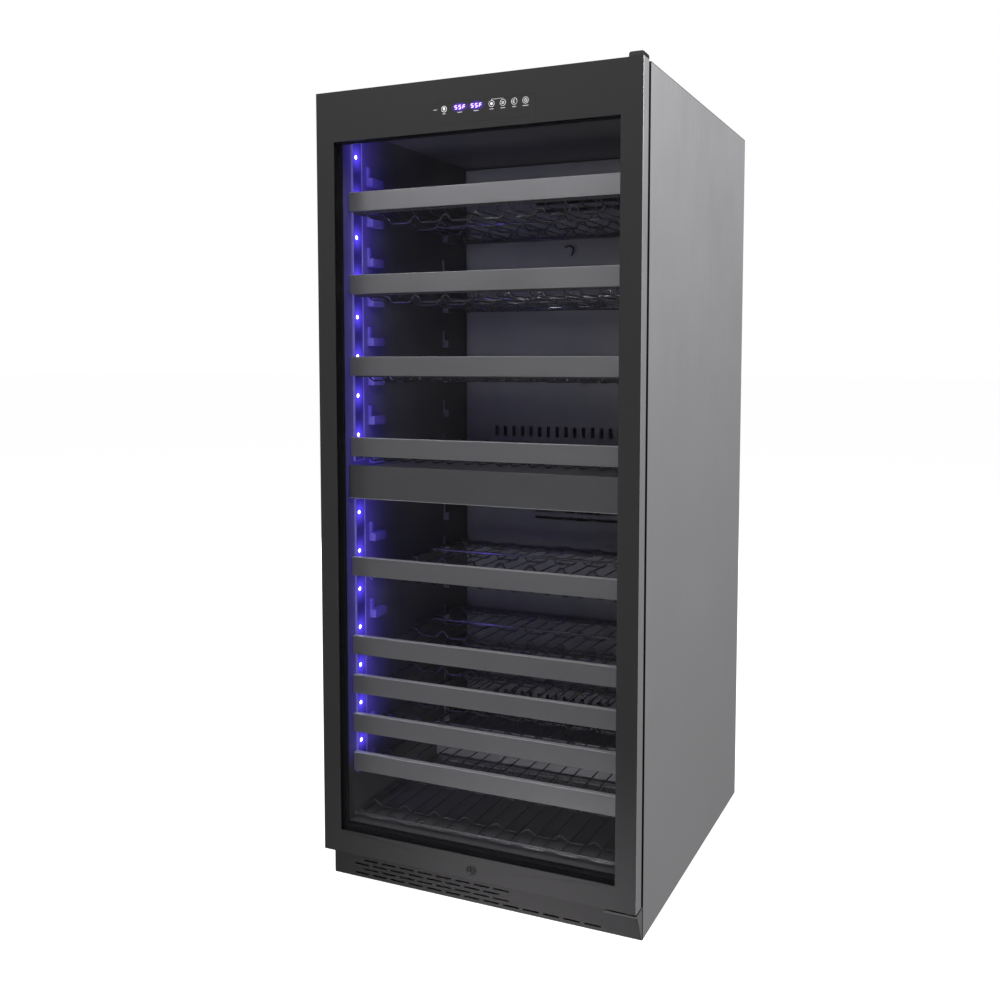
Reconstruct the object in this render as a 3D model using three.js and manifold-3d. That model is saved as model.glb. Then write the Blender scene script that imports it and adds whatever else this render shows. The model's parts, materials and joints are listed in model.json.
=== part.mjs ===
// Tall dual-zone wine cooler with a right-hinged glass door, nine sliding wire shelves and a
// compressor cooling system. Millimetres, +Z up, the front faces -Y, the floor is Z = 0.
import * as THREE from "three";
import { mergeVertices } from "three/addons/utils/BufferGeometryUtils.js";
import Module from "manifold-3d";

const wasm = await Module();
wasm.setup();

// ---------------------------------------------------------------- driving dimensions
const GAP = 0.3; // between pieces that touch

// Cabinet shell
const HALF_W = 297.5;
const FRONT_Y = -320; // front plane of the cabinet
const REAR_Y = 360;
const BOTTOM_Z = 10;
const TOP_Z = 1425;
const SHEET = 1;
const FLANGE_X = 268.5; // inner edge of the side panels' front flanges

// Door
const DOOR_Y = -358; // front face
const DOOR_BACK_Y = -330;
const DOOR_Z0 = 69;
const WINDOW_X = 261;
const WINDOW_Z0 = 111;
const WINDOW_Z1 = 1339;
const DOOR_SKIN = 1.2;
const GLASS_T = 4;
const GLASS_X = 270;
const GLASS_Z0 = 102;
const GLASS_Z1 = 1348;

// Hinge and lock
const HINGE_X = 283;
const HINGE_Y = -344;
const PIN_R = 4;
const LOCK_X = 2;
const LOCK_Z = 87;

// Interior
const LINER_X = 267; // inner half width
const LINER_T = 1.5;
const LINER_BACK_Y = 255;
const UPPER_Z0 = 766;
const UPPER_Z1 = 1375;
const LOWER_Z0 = 112;
const LOWER_Z1 = 718;
const STEP_Y = 25; // the lower zone is shallower below STEP_Z
const STEP_Z = 184;
const DIVIDER_Y = -306;

// Shelves: their front trims sit on one vertical pitch
const PITCH = 73;
const FIRST_TOP_Z = 1260;
const SHELF_STEPS = [0, 2, 4, 6, 9, 11, 12, 13, 14];
const TRIM_H = 34;
const TRIM_X = 264.5;
const TRIM_Y = -308;
const TRIM_D = 12;
const ROD_X = 258;
const ROD_R = 3.5;
const ROD_DROP = 34.2; // trim top to the rods' centre line
const RACK_BACK_Y = 150;
const CRADLES = 8;
const CRADLE_DEPTH = 12;
const WIRE_T = 4;
const WIRE_END = 7; // level part of a cradle wire, over the supports

// Supports on the liner walls
const HOOK_YS = [-242, 60];
const HOOK_DROP = 53; // trim top to the underside of its support
const HOOK_H = 35;
const HOOK_L = 41;

// Machine compartment
const MACHINE_Y = 57;
const MACHINE_Z = 154;

// ---------------------------------------------------------------- shape helpers
function solid(geometry) {
  const g = geometry.clone();
  g.deleteAttribute("normal");
  g.deleteAttribute("uv");
  const merged = mergeVertices(g, 1e-3);
  return new wasm.Manifold(
    new wasm.Mesh({
      numProp: 3,
      vertProperties: new Float32Array(merged.attributes.position.array),
      triVerts: new Uint32Array(merged.index.array),
    }),
  );
}

function toGeometry(manifold) {
  const mesh = manifold.getMesh();
  const indexed = new THREE.BufferGeometry();
  const positions = new Float32Array(mesh.vertProperties);
  indexed.setAttribute("position", new THREE.BufferAttribute(positions, 3));
  indexed.setIndex(new THREE.BufferAttribute(new Uint32Array(mesh.triVerts), 1));
  const flat = indexed.toNonIndexed();
  flat.computeVertexNormals();
  return flat;
}

function join(...geometries) {
  return toGeometry(geometries.map(solid).reduce((a, b) => a.add(b)));
}

function cut(body, ...tools) {
  return toGeometry(tools.map(solid).reduce((a, b) => a.subtract(b), solid(body)));
}

function box(x0, x1, y0, y1, z0, z1) {
  const g = new THREE.BoxGeometry(x1 - x0, y1 - y0, z1 - z0);
  g.translate((x0 + x1) / 2, (y0 + y1) / 2, (z0 + z1) / 2);
  return g;
}

// A round bar from one point to another.
function bar(from, to, r, sides = 8) {
  const a = new THREE.Vector3(...from);
  const b = new THREE.Vector3(...to);
  const dir = b.clone().sub(a);
  const g = new THREE.CylinderGeometry(r, r, dir.length(), sides);
  const up = new THREE.Vector3(0, 1, 0);
  g.applyQuaternion(new THREE.Quaternion().setFromUnitVectors(up, dir.normalize()));
  g.translate((a.x + b.x) / 2, (a.y + b.y) / 2, (a.z + b.z) / 2);
  return g;
}

// Extrudes a closed outline, with optional holes, along the axis that its plane leaves out.
function extrude(plane, outline, from, to, holes = []) {
  const shape = new THREE.Shape(outline.map(([u, v]) => new THREE.Vector2(u, v)));
  for (const hole of holes) {
    shape.holes.push(new THREE.Path(hole.map(([u, v]) => new THREE.Vector2(u, v))));
  }
  const g = new THREE.ExtrudeGeometry(shape, { depth: to - from, bevelEnabled: false });
  const x = new THREE.Vector3(1, 0, 0);
  const y = new THREE.Vector3(0, 1, 0);
  const z = new THREE.Vector3(0, 0, 1);
  if (plane === "xy") {
    g.translate(0, 0, from);
  }
  if (plane === "yz") {
    g.applyMatrix4(new THREE.Matrix4().makeBasis(y, z, x));
    g.translate(from, 0, 0);
  }
  if (plane === "xz") {
    g.applyMatrix4(new THREE.Matrix4().makeBasis(x, z, y.negate()));
    g.translate(0, to, 0);
  }
  return g;
}

function rect(u0, u1, v0, v1) {
  return [[u0, v0], [u1, v0], [u1, v1], [u0, v1]];
}

// A channel profile: a web with a return at each end, all of one thickness.
function channel(u0, depth, v0, v1, t) {
  return [
    [u0, v0], [u0 + depth, v0], [u0 + depth, v0 + t], [u0 + t, v0 + t],
    [u0 + t, v1 - t], [u0 + depth, v1 - t], [u0 + depth, v1], [u0, v1],
  ];
}

function ring(outer, inner, y0, y1) {
  return extrude("xz", outer, y0, y1, [inner]);
}

const group = new THREE.Group();

function add(name, geometry, color, options = {}) {
  const look = { color, roughness: 0.5, metalness: 0, ...options };
  const mesh = new THREE.Mesh(geometry, new THREE.MeshStandardMaterial(look));
  mesh.name = name;
  group.add(mesh);
}

const BLACK_STEEL = 0x3a393b;
const GREY_STEEL = 0x8f8f93;
const TRIM_STEEL = 0x76767a;
const LINER_BLACK = 0x1c1c1f;
const PLASTIC_BLACK = 0x101012;
const ZINC = 0xb5b8bb;
const COPPER = 0xb87333;
const FOAM = 0xe3d9a8;
const METAL = { metalness: 0.9, roughness: 0.35 };

// ---------------------------------------------------------------- outer shell
for (const [side, s] of [["left", -1], ["right", 1]]) {
  const outline = [
    [HALF_W, FRONT_Y], [HALF_W, REAR_Y], [HALF_W - SHEET, REAR_Y],
    [HALF_W - SHEET, FRONT_Y + SHEET], [FLANGE_X, FRONT_Y + SHEET], [FLANGE_X, FRONT_Y],
  ].map(([x, y]) => [s * x, y]);
  const sheet = extrude("xy", outline, BOTTOM_Z, TOP_Z - SHEET - GAP);
  add(`side_panel_${side}`, sheet, GREY_STEEL, METAL);
}

add(
  "top_panel",
  join(
    box(-HALF_W, HALF_W, FRONT_Y, REAR_Y, TOP_Z - SHEET, TOP_Z),
    box(
      -FLANGE_X + GAP, FLANGE_X - GAP, FRONT_Y, FRONT_Y + SHEET,
      UPPER_Z1 + LINER_T + GAP, TOP_Z - 0.5,
    ),
  ),
  GREY_STEEL,
  METAL,
);

// The back panel is one bent sheet: rear wall, roof and front wall of the machine compartment,
// and the underside of the insulated body.
add(
  "back_panel",
  extrude(
    "yz",
    [
      [REAR_Y, MACHINE_Z - 1], [REAR_Y, TOP_Z - SHEET - GAP], [REAR_Y - SHEET, TOP_Z - SHEET - GAP],
      [REAR_Y - SHEET, MACHINE_Z], [MACHINE_Y, MACHINE_Z], [MACHINE_Y, 75.2], [FRONT_Y + 2, 75.2],
      [FRONT_Y + 2, 74.2], [MACHINE_Y + 1, 74.2], [MACHINE_Y + 1, MACHINE_Z - 1],
    ],
    -HALF_W + 1.5,
    HALF_W - 1.5,
  ),
  ZINC,
  METAL,
);

// Rear cover of the machine compartment, with rows of air slots and an opening for the mains inlet.
const INLET_X = -224;
const INLET_Z = 95;
const coverSlots = [];
for (let row = 0; row < 6; row++) {
  for (let col = 0; col < 8; col++) {
    const x = -170 + col * 52;
    const z = 34 + row * 20;
    coverSlots.push(box(x, x + 40, REAR_Y - 3, REAR_Y + 1, z, z + 5));
  }
}
add(
  "compressor_cover",
  cut(
    box(-HALF_W + 4, HALF_W - 4, REAR_Y - 1.5, REAR_Y, BOTTOM_Z + 4, MACHINE_Z - 2),
    ...coverSlots,
    box(INLET_X - 18, INLET_X + 18, REAR_Y - 3, REAR_Y + 1, INLET_Z - 14, INLET_Z + 14),
  ),
  ZINC,
  METAL,
);

// ---------------------------------------------------------------- base
const FEET = [
  ["front_left", -262, -268],
  ["front_right", 262, -268],
  ["rear_left", -262, 318],
  ["rear_right", 262, 318],
];
const PAN_X = HALF_W - 1.3;
add(
  "base_pan",
  cut(
    box(-PAN_X, PAN_X, FRONT_Y + 2, REAR_Y - 3, BOTTOM_Z, 30),
    box(-PAN_X + 1.2, PAN_X - 1.2, FRONT_Y - 1, REAR_Y - 4.2, BOTTOM_Z + 1.2, 31),
    ...FEET.map(([, x, y]) => bar([x, y, BOTTOM_Z - 1], [x, y, BOTTOM_Z + 2], 4.6, 12)),
  ),
  ZINC,
  METAL,
);

for (const [where, x, y] of FEET) {
  const profile = [
    [0, 0], [15, 0], [16, 1.5], [16, 5], [9, 7],
    [9, BOTTOM_Z - GAP], [4, BOTTOM_Z - GAP], [4, 24], [0, 24],
  ];
  const foot = new THREE.LatheGeometry(profile.map(([r, z]) => new THREE.Vector2(r, z)), 12);
  foot.rotateX(Math.PI / 2);
  foot.translate(x, y, 0);
  add(`foot_${where}`, toGeometry(solid(foot)), PLASTIC_BLACK);
}

// Kick plate: short staggered air slots across the left and middle, one row across the right,
// and the strike that the door lock's cam turns behind.
const SLOT_L = 30;
const SLOT_H = 3;
const SLOT_PITCH = 37.5;
const kickSlots = [];
for (let row = 0; row < 5; row++) {
  const z = 16 + row * 8.5;
  const lastX = row === 0 ? 260 : 66;
  const shift = (row % 2) * (SLOT_PITCH / 2);
  for (let x = -254 + shift; x + SLOT_L <= lastX; x += SLOT_PITCH) {
    kickSlots.push(box(x, x + SLOT_L, FRONT_Y - 4, FRONT_Y + 1, z, z + SLOT_H));
  }
}
const KICK_TOP_Z = 61.5;
const strike = [
  [FRONT_Y - 1, 56], [FRONT_Y - 1, 58], [FRONT_Y - 13, 58],
  [FRONT_Y - 13, 64], [FRONT_Y - 15, 64], [FRONT_Y - 15, 56],
];
add(
  "kick_plate",
  cut(
    join(
      box(-HALF_W, HALF_W, FRONT_Y - 3, FRONT_Y - GAP, BOTTOM_Z, KICK_TOP_Z),
      extrude("yz", strike, LOCK_X - 12, LOCK_X + 12),
    ),
    ...kickSlots,
  ),
  BLACK_STEEL,
  METAL,
);

// ---------------------------------------------------------------- insulated body and liners
// The lower zone's outline, front to back, grown outwards by d: it steps up over the machine.
function lowerOutline(d, frontY) {
  return [
    [frontY, LOWER_Z0 - d], [STEP_Y + d, LOWER_Z0 - d], [STEP_Y + d, STEP_Z - d],
    [LINER_BACK_Y + d, STEP_Z - d], [LINER_BACK_Y + d, LOWER_Z1 + d], [frontY, LOWER_Z1 + d],
  ];
}

const SKIN = LINER_T + GAP;
const bodyOutline = [
  [FRONT_Y + SHEET + GAP, 75.5], [MACHINE_Y - GAP, 75.5], [MACHINE_Y - GAP, MACHINE_Z + GAP],
  [REAR_Y - SHEET - GAP, MACHINE_Z + GAP], [REAR_Y - SHEET - GAP, TOP_Z - SHEET - GAP],
  [FRONT_Y + SHEET + GAP, TOP_Z - SHEET - GAP],
];
add(
  "foam_insulation",
  cut(
    extrude("yz", bodyOutline, -HALF_W + SHEET + GAP, HALF_W - SHEET - GAP),
    box(
      -LINER_X - SKIN, LINER_X + SKIN, FRONT_Y - 5, LINER_BACK_Y + SKIN,
      UPPER_Z0 - SKIN, UPPER_Z1 + SKIN,
    ),
    extrude("yz", lowerOutline(SKIN, FRONT_Y - 5), -LINER_X - SKIN, LINER_X + SKIN),
    box(-LINER_X - SKIN, LINER_X + SKIN, FRONT_Y - 5, DIVIDER_Y + GAP, LOWER_Z1, UPPER_Z0),
  ),
  FOAM,
  { roughness: 0.9 },
);

// An L-shaped shelf support standing out of a side wall, its foot pointing to the back.
function hooks(topZs) {
  const pieces = [];
  for (const s of [-1, 1]) {
    for (const y of HOOK_YS) {
      for (const top of topZs) {
        const z = top - HOOK_DROP;
        const footX = [s * (LINER_X + 0.5), s * (LINER_X - 13)].sort((a, b) => a - b);
        const barX = [s * (LINER_X + 0.5), s * (LINER_X - 4)].sort((a, b) => a - b);
        pieces.push(box(...footX, y, y + HOOK_L, z, z + 15));
        pieces.push(box(...barX, y, y + 8, z + 1, z + HOOK_H));
      }
    }
  }
  return pieces;
}

const topAt = (step) => FIRST_TOP_Z - PITCH * step;
const upperHookTops = [-1, 0, 1, 2, 3, 4, 5, 6].map(topAt);
const lowerHookTops = [8, 9, 10, 11, 12, 13, 14].map(topAt);

add(
  "liner_upper",
  join(
    cut(
      box(
        -LINER_X - LINER_T, LINER_X + LINER_T, FRONT_Y, LINER_BACK_Y + LINER_T,
        UPPER_Z0 - LINER_T, UPPER_Z1 + LINER_T,
      ),
      box(-LINER_X, LINER_X, FRONT_Y - 5, LINER_BACK_Y, UPPER_Z0, UPPER_Z1),
      box(-LINER_X, LINER_X, FRONT_Y - 5, DIVIDER_Y, UPPER_Z0 - 5, UPPER_Z0 + 1),
    ),
    ...hooks(upperHookTops),
  ),
  LINER_BLACK,
);

add(
  "liner_lower",
  join(
    cut(
      extrude("yz", lowerOutline(LINER_T, FRONT_Y), -LINER_X - LINER_T, LINER_X + LINER_T),
      extrude("yz", lowerOutline(0, FRONT_Y - 5), -LINER_X, LINER_X),
      box(-LINER_X, LINER_X, FRONT_Y - 5, DIVIDER_Y, LOWER_Z1 - 1, LOWER_Z1 + 5),
    ),
    box(-LINER_X - LINER_T, -LINER_X, FRONT_Y, DIVIDER_Y, LOWER_Z1, UPPER_Z0 - SKIN),
    box(LINER_X, LINER_X + LINER_T, FRONT_Y, DIVIDER_Y, LOWER_Z1, UPPER_Z0 - SKIN),
    box(-FLANGE_X + GAP, FLANGE_X - GAP, FRONT_Y, FRONT_Y + SHEET, 72, LOWER_Z0 - 0.2),
    ...hooks(lowerHookTops),
  ),
  LINER_BLACK,
);

add(
  "zone_divider_trim",
  extrude("yz", channel(-312, 14, LOWER_Z1 - 6, UPPER_Z0 + 6, 1.5), -LINER_X + 0.6, LINER_X - 0.6),
  TRIM_STEEL,
  METAL,
);

// Light strips on the left wall: a channel with one diode per shelf pitch.
const LED_Z = 1328;
function lightStrip(name, z0, z1) {
  const face = -LINER_X + 3.8;
  const diodes = [];
  for (let z = LED_Z; z > z0; z -= PITCH) {
    if (z < z1) {
      diodes.push(box(face - 0.5, face + 0.8, -288.5, -283.5, z - 2.5, z + 2.5));
    }
  }
  add(
    name,
    join(box(-LINER_X + GAP, face, -295, -262, z0, z1), ...diodes),
    0x2a2a6a,
    { emissive: 0x3020c0 },
  );
}
lightStrip("led_strip_upper", UPPER_Z0 + 12, UPPER_Z1 - 8);
lightStrip("led_strip_lower", STEP_Z + 12, LOWER_Z1 - 10);

// ---------------------------------------------------------------- air ducts and evaporators
const DUCT_Y = 166;
const FAN_R = 45;

// A cover across the back of a zone: louvres in front of the fan, return slots at the bottom, and
// the boss behind the louvres that the fan's motor shaft stands on.
function airDuct(name, z0, z1, fanZ) {
  const openings = [];
  for (let row = -2; row <= 2; row++) {
    for (const x of [-100, -32, 36]) {
      const z = fanZ + row * 15;
      openings.push(box(x, x + 64, DUCT_Y - 1, DUCT_Y + 3, z - 3, z + 3));
    }
  }
  for (let x = -190; x <= 190; x += 20) {
    openings.push(box(x - 4, x + 4, DUCT_Y - 1, DUCT_Y + 3, z0 + 28, z0 + 50));
  }
  const shell = cut(
    box(-264, 264, DUCT_Y, LINER_BACK_Y - GAP, z0, z1),
    box(-262, 262, DUCT_Y + 2, LINER_BACK_Y + 1, z0 + 2, z1 - 2),
    ...openings,
  );
  const boss = bar([0, DUCT_Y + 1, fanZ], [0, DUCT_Y + 16, fanZ], 12, 12);
  add(name, join(shell, boss), LINER_BLACK);
}

// A rotor with flat pitched blades, turning about an axis along Y.
function fan(name, x, y, z, radius, color) {
  const pieces = [bar([x, y, z], [x, y + 16, z], radius * 0.34, 16)];
  for (let i = 0; i < 5; i++) {
    const blade = new THREE.BoxGeometry(radius * 0.72, 1.6, radius * 0.55);
    blade.rotateX(0.55);
    blade.translate(radius * 0.62, 0, 0);
    blade.rotateY((i * 2 * Math.PI) / 5);
    blade.translate(x, y + 8, z);
    pieces.push(blade);
  }
  add(name, join(...pieces), color);
}

// A tube-and-fin block: upright fins on two through tubes, held by solid end plates.
function finCoil(name, x0, x1, y0, y1, z0, z1, fins, color) {
  const pieces = [];
  for (let i = 0; i < fins; i++) {
    const x = x0 + ((x1 - x0 - 1.5) * i) / (fins - 1);
    pieces.push(box(x, x + 1.5, y0, y1, z0, z1));
  }
  const yc = (y0 + y1) / 2;
  for (const share of [0.25, 0.75]) {
    const z = z0 + share * (z1 - z0);
    pieces.push(bar([x0 - 8, yc, z], [x1 + 8, yc, z], 4.5, 6));
  }
  add(name, join(...pieces), color, METAL);
}

const FAN_UPPER_Z = 1305;
const FAN_LOWER_Z = 655;
airDuct("air_duct_upper", UPPER_Z0 + 4, UPPER_Z1 - 4, FAN_UPPER_Z);
airDuct("air_duct_lower", STEP_Z + 4, LOWER_Z1 - 4, FAN_LOWER_Z);
fan("fan_upper", 0, DUCT_Y + 16 + GAP, FAN_UPPER_Z, FAN_R, PLASTIC_BLACK);
fan("fan_lower", 0, DUCT_Y + 16 + GAP, FAN_LOWER_Z, FAN_R, PLASTIC_BLACK);
finCoil("evaporator_upper", -200, 200, 208, LINER_BACK_Y - GAP, 860, 1200, 12, ZINC);
finCoil("evaporator_lower", -200, 200, 208, LINER_BACK_Y - GAP, 290, 560, 12, ZINC);

// ---------------------------------------------------------------- machine compartment
const PAN_TOP_Z = BOTTOM_Z + 1.2 + GAP;

// Hermetic compressor on a sprung foot plate with four rubber grommets, and its two pipe stubs.
const COMP_X = 150;
const COMP_Y = 212;
const canProfile = [
  [0, 24], [60, 24], [70, 36], [74, 56], [74, 64], [76, 64],
  [76, 70], [74, 70], [74, 96], [66, 122], [48, 136], [0, 141],
];
const can = new THREE.LatheGeometry(canProfile.map(([r, z]) => new THREE.Vector2(r, z)), 24);
can.rotateX(Math.PI / 2);
can.translate(COMP_X, COMP_Y, 0);
const mounts = [];
for (const sx of [-1, 1]) {
  for (const sy of [-1, 1]) {
    const x = COMP_X + sx * 84;
    const y = COMP_Y + sy * 56;
    mounts.push(bar([x, y, PAN_TOP_Z], [x, y, 26], 11, 12));
  }
}
add(
  "compressor",
  join(
    can,
    box(COMP_X - 98, COMP_X + 98, COMP_Y - 68, COMP_Y + 68, 22, 25),
    ...mounts,
    bar([COMP_X - 60, COMP_Y, 95], [COMP_X - 96, COMP_Y, 95], 4, 8),
    bar([COMP_X - 55, COMP_Y + 20, 110], [COMP_X - 96, COMP_Y + 20, 110], 3, 8),
    box(COMP_X + 60, COMP_X + 96, COMP_Y - 24, COMP_Y + 24, 62, 116),
  ),
  PLASTIC_BLACK,
  { roughness: 0.4 },
);

finCoil("condenser", -205, -25, 72, 106, PAN_TOP_Z, 146, 10, COPPER);

const FAN_X = -115;
const FAN_Z = 79;
const FRAME_Y = 112;
const FRAME_D = 30;
add(
  "condenser_fan_frame",
  join(
    cut(
      box(FAN_X - 62, FAN_X + 62, FRAME_Y, FRAME_Y + FRAME_D, PAN_TOP_Z, 142),
      bar([FAN_X, FRAME_Y - 1, FAN_Z], [FAN_X, FRAME_Y + FRAME_D + 1, FAN_Z], 56, 24),
    ),
    box(FAN_X - 59, FAN_X + 59, FRAME_Y, FRAME_Y + 4, FAN_Z - 5, FAN_Z + 5),
    box(FAN_X - 5, FAN_X + 5, FRAME_Y, FRAME_Y + 4, FAN_Z - 59, FAN_Z + 59),
    bar([FAN_X, FRAME_Y, FAN_Z], [FAN_X, FRAME_Y + 8, FAN_Z], 16, 16),
  ),
  PLASTIC_BLACK,
);
fan("condenser_fan", FAN_X, FRAME_Y + 8 + GAP, FAN_Z, 52, PLASTIC_BLACK);

add(
  "drip_tray",
  cut(box(-190, -30, 185, 335, PAN_TOP_Z, 42), box(-188, -32, 187, 333, PAN_TOP_Z + 2, 43)),
  PLASTIC_BLACK,
);

add(
  "power_box",
  cut(
    join(
      box(-252, -196, 296, REAR_Y - 5, PAN_TOP_Z, 132),
      box(INLET_X - 17, INLET_X + 17, REAR_Y - 10, REAR_Y, INLET_Z - 13, INLET_Z + 13),
    ),
    box(INLET_X - 12, INLET_X + 12, REAR_Y - 20, REAR_Y + 1, INLET_Z - 8, INLET_Z + 8),
  ),
  PLASTIC_BLACK,
);

// ---------------------------------------------------------------- hinges
add(
  "hinge_bracket_bottom",
  join(
    box(HINGE_X - 40, HALF_W - GAP, DOOR_Y + 3, FRONT_Y - GAP, 62, 65),
    box(HINGE_X - 28, HALF_W - GAP, FRONT_Y - 6, FRONT_Y - 3 - GAP, 16, 63),
    extrude(
      "yz",
      [
        [DOOR_Y + 8, 63], [FRONT_Y - 6, BOTTOM_Z + 2],
        [FRONT_Y - 3 - GAP, BOTTOM_Z + 2], [FRONT_Y - 3 - GAP, 63],
      ],
      HALF_W - 3,
      HALF_W - GAP,
    ),
    bar([HINGE_X, HINGE_Y, 64], [HINGE_X, HINGE_Y, DOOR_Z0 - 0.5], 8, 16),
    bar([HINGE_X, HINGE_Y, 64], [HINGE_X, HINGE_Y, 87], PIN_R, 16),
  ),
  GREY_STEEL,
  METAL,
);

add(
  "hinge_bracket_top",
  join(
    box(HINGE_X - 8, HINGE_X + 8, HINGE_Y - 8, FRONT_Y + 14, TOP_Z + GAP, TOP_Z + 3 + GAP),
    box(HINGE_X - 33, HINGE_X - 2, FRONT_Y + 8, FRONT_Y + 58, TOP_Z + GAP, TOP_Z + 3 + GAP),
    bar([HINGE_X, HINGE_Y, TOP_Z - 20], [HINGE_X, HINGE_Y, TOP_Z + 2], PIN_R, 16),
  ),
  ZINC,
  METAL,
);

const CAP_H = 8;
add(
  "hinge_cover",
  cut(
    extrude(
      "xz",
      [
        [HALF_W, TOP_Z + GAP], [HALF_W, TOP_Z + 5],
        [HALF_W - 1, TOP_Z + 7], [HALF_W - 3, TOP_Z + CAP_H],
        [HALF_W - 21.7, TOP_Z + CAP_H], [HALF_W - 23.7, TOP_Z + 7],
        [HALF_W - 24.7, TOP_Z + 5], [HALF_W - 24.7, TOP_Z + GAP],
      ],
      DOOR_Y + 2,
      DOOR_BACK_Y,
    ),
    box(HALF_W - 23.4, HALF_W - 1.3, DOOR_Y + 3.5, DOOR_BACK_Y + 1, TOP_Z - 1, TOP_Z + 6.6),
  ),
  PLASTIC_BLACK,
);

// ---------------------------------------------------------------- door
const lockBore = (r) => bar([LOCK_X, DOOR_Y - 1, LOCK_Z], [LOCK_X, DOOR_BACK_Y + 1, LOCK_Z], r, 20);
const pinBores = (r) => [
  bar([HINGE_X, HINGE_Y, DOOR_Z0 - 1], [HINGE_X, HINGE_Y, DOOR_Z0 + 22], r, 16),
  bar([HINGE_X, HINGE_Y, TOP_Z - 23], [HINGE_X, HINGE_Y, TOP_Z + 1], r, 16),
];
const PANEL_X0 = -80;
const PANEL_X1 = 118;
const PANEL_Z0 = 1351;
const PANEL_Z1 = 1385;

const doorOutline = [
  [HALF_W, DOOR_BACK_Y - 1], [-HALF_W, DOOR_BACK_Y - 1],
  [-HALF_W, DOOR_Y + 1.5], [-HALF_W + 0.5, DOOR_Y + 0.5], [-HALF_W + 1.5, DOOR_Y],
  [HALF_W - 1.5, DOOR_Y], [HALF_W - 0.5, DOOR_Y + 0.5], [HALF_W, DOOR_Y + 1.5],
];
add(
  "door_frame",
  cut(
    extrude("xy", doorOutline, DOOR_Z0, TOP_Z),
    box(
      -HALF_W + DOOR_SKIN, HALF_W - DOOR_SKIN, DOOR_Y + DOOR_SKIN, DOOR_BACK_Y + 5,
      DOOR_Z0 + DOOR_SKIN, TOP_Z - DOOR_SKIN,
    ),
    box(-WINDOW_X, WINDOW_X, DOOR_Y - 5, DOOR_Y + 5, WINDOW_Z0, WINDOW_Z1),
    box(PANEL_X0, PANEL_X1, DOOR_Y - 5, DOOR_Y + 5, PANEL_Z0, PANEL_Z1),
    lockBore(8.4),
    ...pinBores(4.6),
  ),
  BLACK_STEEL,
  METAL,
);

const CORE_Y = DOOR_Y + DOOR_SKIN + GAP;
const GLASS_Y = CORE_Y + 0.1;
const SPACER_Y = GLASS_Y + GLASS_T + GAP;
const SPACER_T = 12;
const INNER_GLASS_Y = SPACER_Y + SPACER_T + GAP;
const GLASS_BACK_Y = INNER_GLASS_Y + GLASS_T;
const CORE_X = HALF_W - DOOR_SKIN - GAP;
add(
  "door_inner_frame",
  cut(
    box(-CORE_X, CORE_X, CORE_Y, DOOR_BACK_Y, DOOR_Z0 + DOOR_SKIN + GAP, TOP_Z - DOOR_SKIN - GAP),
    box(-WINDOW_X, WINDOW_X, DOOR_Y, DOOR_BACK_Y + 1, WINDOW_Z0, WINDOW_Z1),
    box(-GLASS_X - 0.5, GLASS_X + 0.5, DOOR_Y, GLASS_BACK_Y + GAP, GLASS_Z0 - 0.5, GLASS_Z1 + 0.5),
    box(PANEL_X0 - 1, PANEL_X1 + 1, DOOR_Y, DOOR_Y + 14, PANEL_Z0 - 1, PANEL_Z1 + 1),
    lockBore(8.4),
    ...pinBores(4.4),
  ),
  PLASTIC_BLACK,
);

function pane(name, y) {
  add(name, box(-GLASS_X, GLASS_X, y, y + GLASS_T, GLASS_Z0, GLASS_Z1), 0x334444, {
    transparent: true,
    opacity: 0.3,
    roughness: 0.05,
  });
}
pane("glass_outer", GLASS_Y);
pane("glass_inner", INNER_GLASS_Y);
add(
  "glass_spacer",
  ring(
    rect(-GLASS_X + 0.5, GLASS_X - 0.5, GLASS_Z0 + 0.5, GLASS_Z1 - 0.5),
    rect(-GLASS_X + 7.5, GLASS_X - 7.5, GLASS_Z0 + 7.5, GLASS_Z1 - 7.5),
    SPACER_Y,
    SPACER_Y + SPACER_T,
  ),
  ZINC,
  METAL,
);

add(
  "door_gasket",
  ring(
    rect(-282.5, 282.5, 97, 1395),
    rect(-270.5, 270.5, 109, 1383),
    DOOR_BACK_Y + GAP,
    FRONT_Y - GAP,
  ),
  PLASTIC_BLACK,
  { roughness: 0.9 },
);

add(
  "control_panel",
  box(PANEL_X0 + GAP, PANEL_X1 - GAP, DOOR_Y, DOOR_Y + 12, PANEL_Z0 + GAP, PANEL_Z1 - GAP),
  BLACK_STEEL,
);

// ---------------------------------------------------------------- lock
const LOCK_FACE_Y = -360;
add(
  "lock_housing",
  cut(
    join(
      bar([LOCK_X, LOCK_FACE_Y, LOCK_Z], [LOCK_X, DOOR_Y - GAP, LOCK_Z], 9.5, 24),
      bar([LOCK_X, DOOR_Y - 1, LOCK_Z], [LOCK_X, DOOR_BACK_Y - GAP, LOCK_Z], 8, 20),
    ),
    bar([LOCK_X, LOCK_FACE_Y - 1, LOCK_Z], [LOCK_X, DOOR_BACK_Y + 1, LOCK_Z], 6.4, 20),
  ),
  ZINC,
  METAL,
);
add(
  "lock_barrel",
  cut(
    join(
      bar([LOCK_X, LOCK_FACE_Y + 0.5, LOCK_Z], [LOCK_X, DOOR_BACK_Y + 1, LOCK_Z], 6, 20),
      box(LOCK_X - 6, LOCK_X + 27, DOOR_BACK_Y + 0.5, DOOR_BACK_Y + 2.5, LOCK_Z - 4, LOCK_Z + 4),
    ),
    box(LOCK_X - 0.9, LOCK_X + 0.9, LOCK_FACE_Y, LOCK_FACE_Y + 5, LOCK_Z - 3.5, LOCK_Z + 3.5),
  ),
  ZINC,
  METAL,
);

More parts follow.
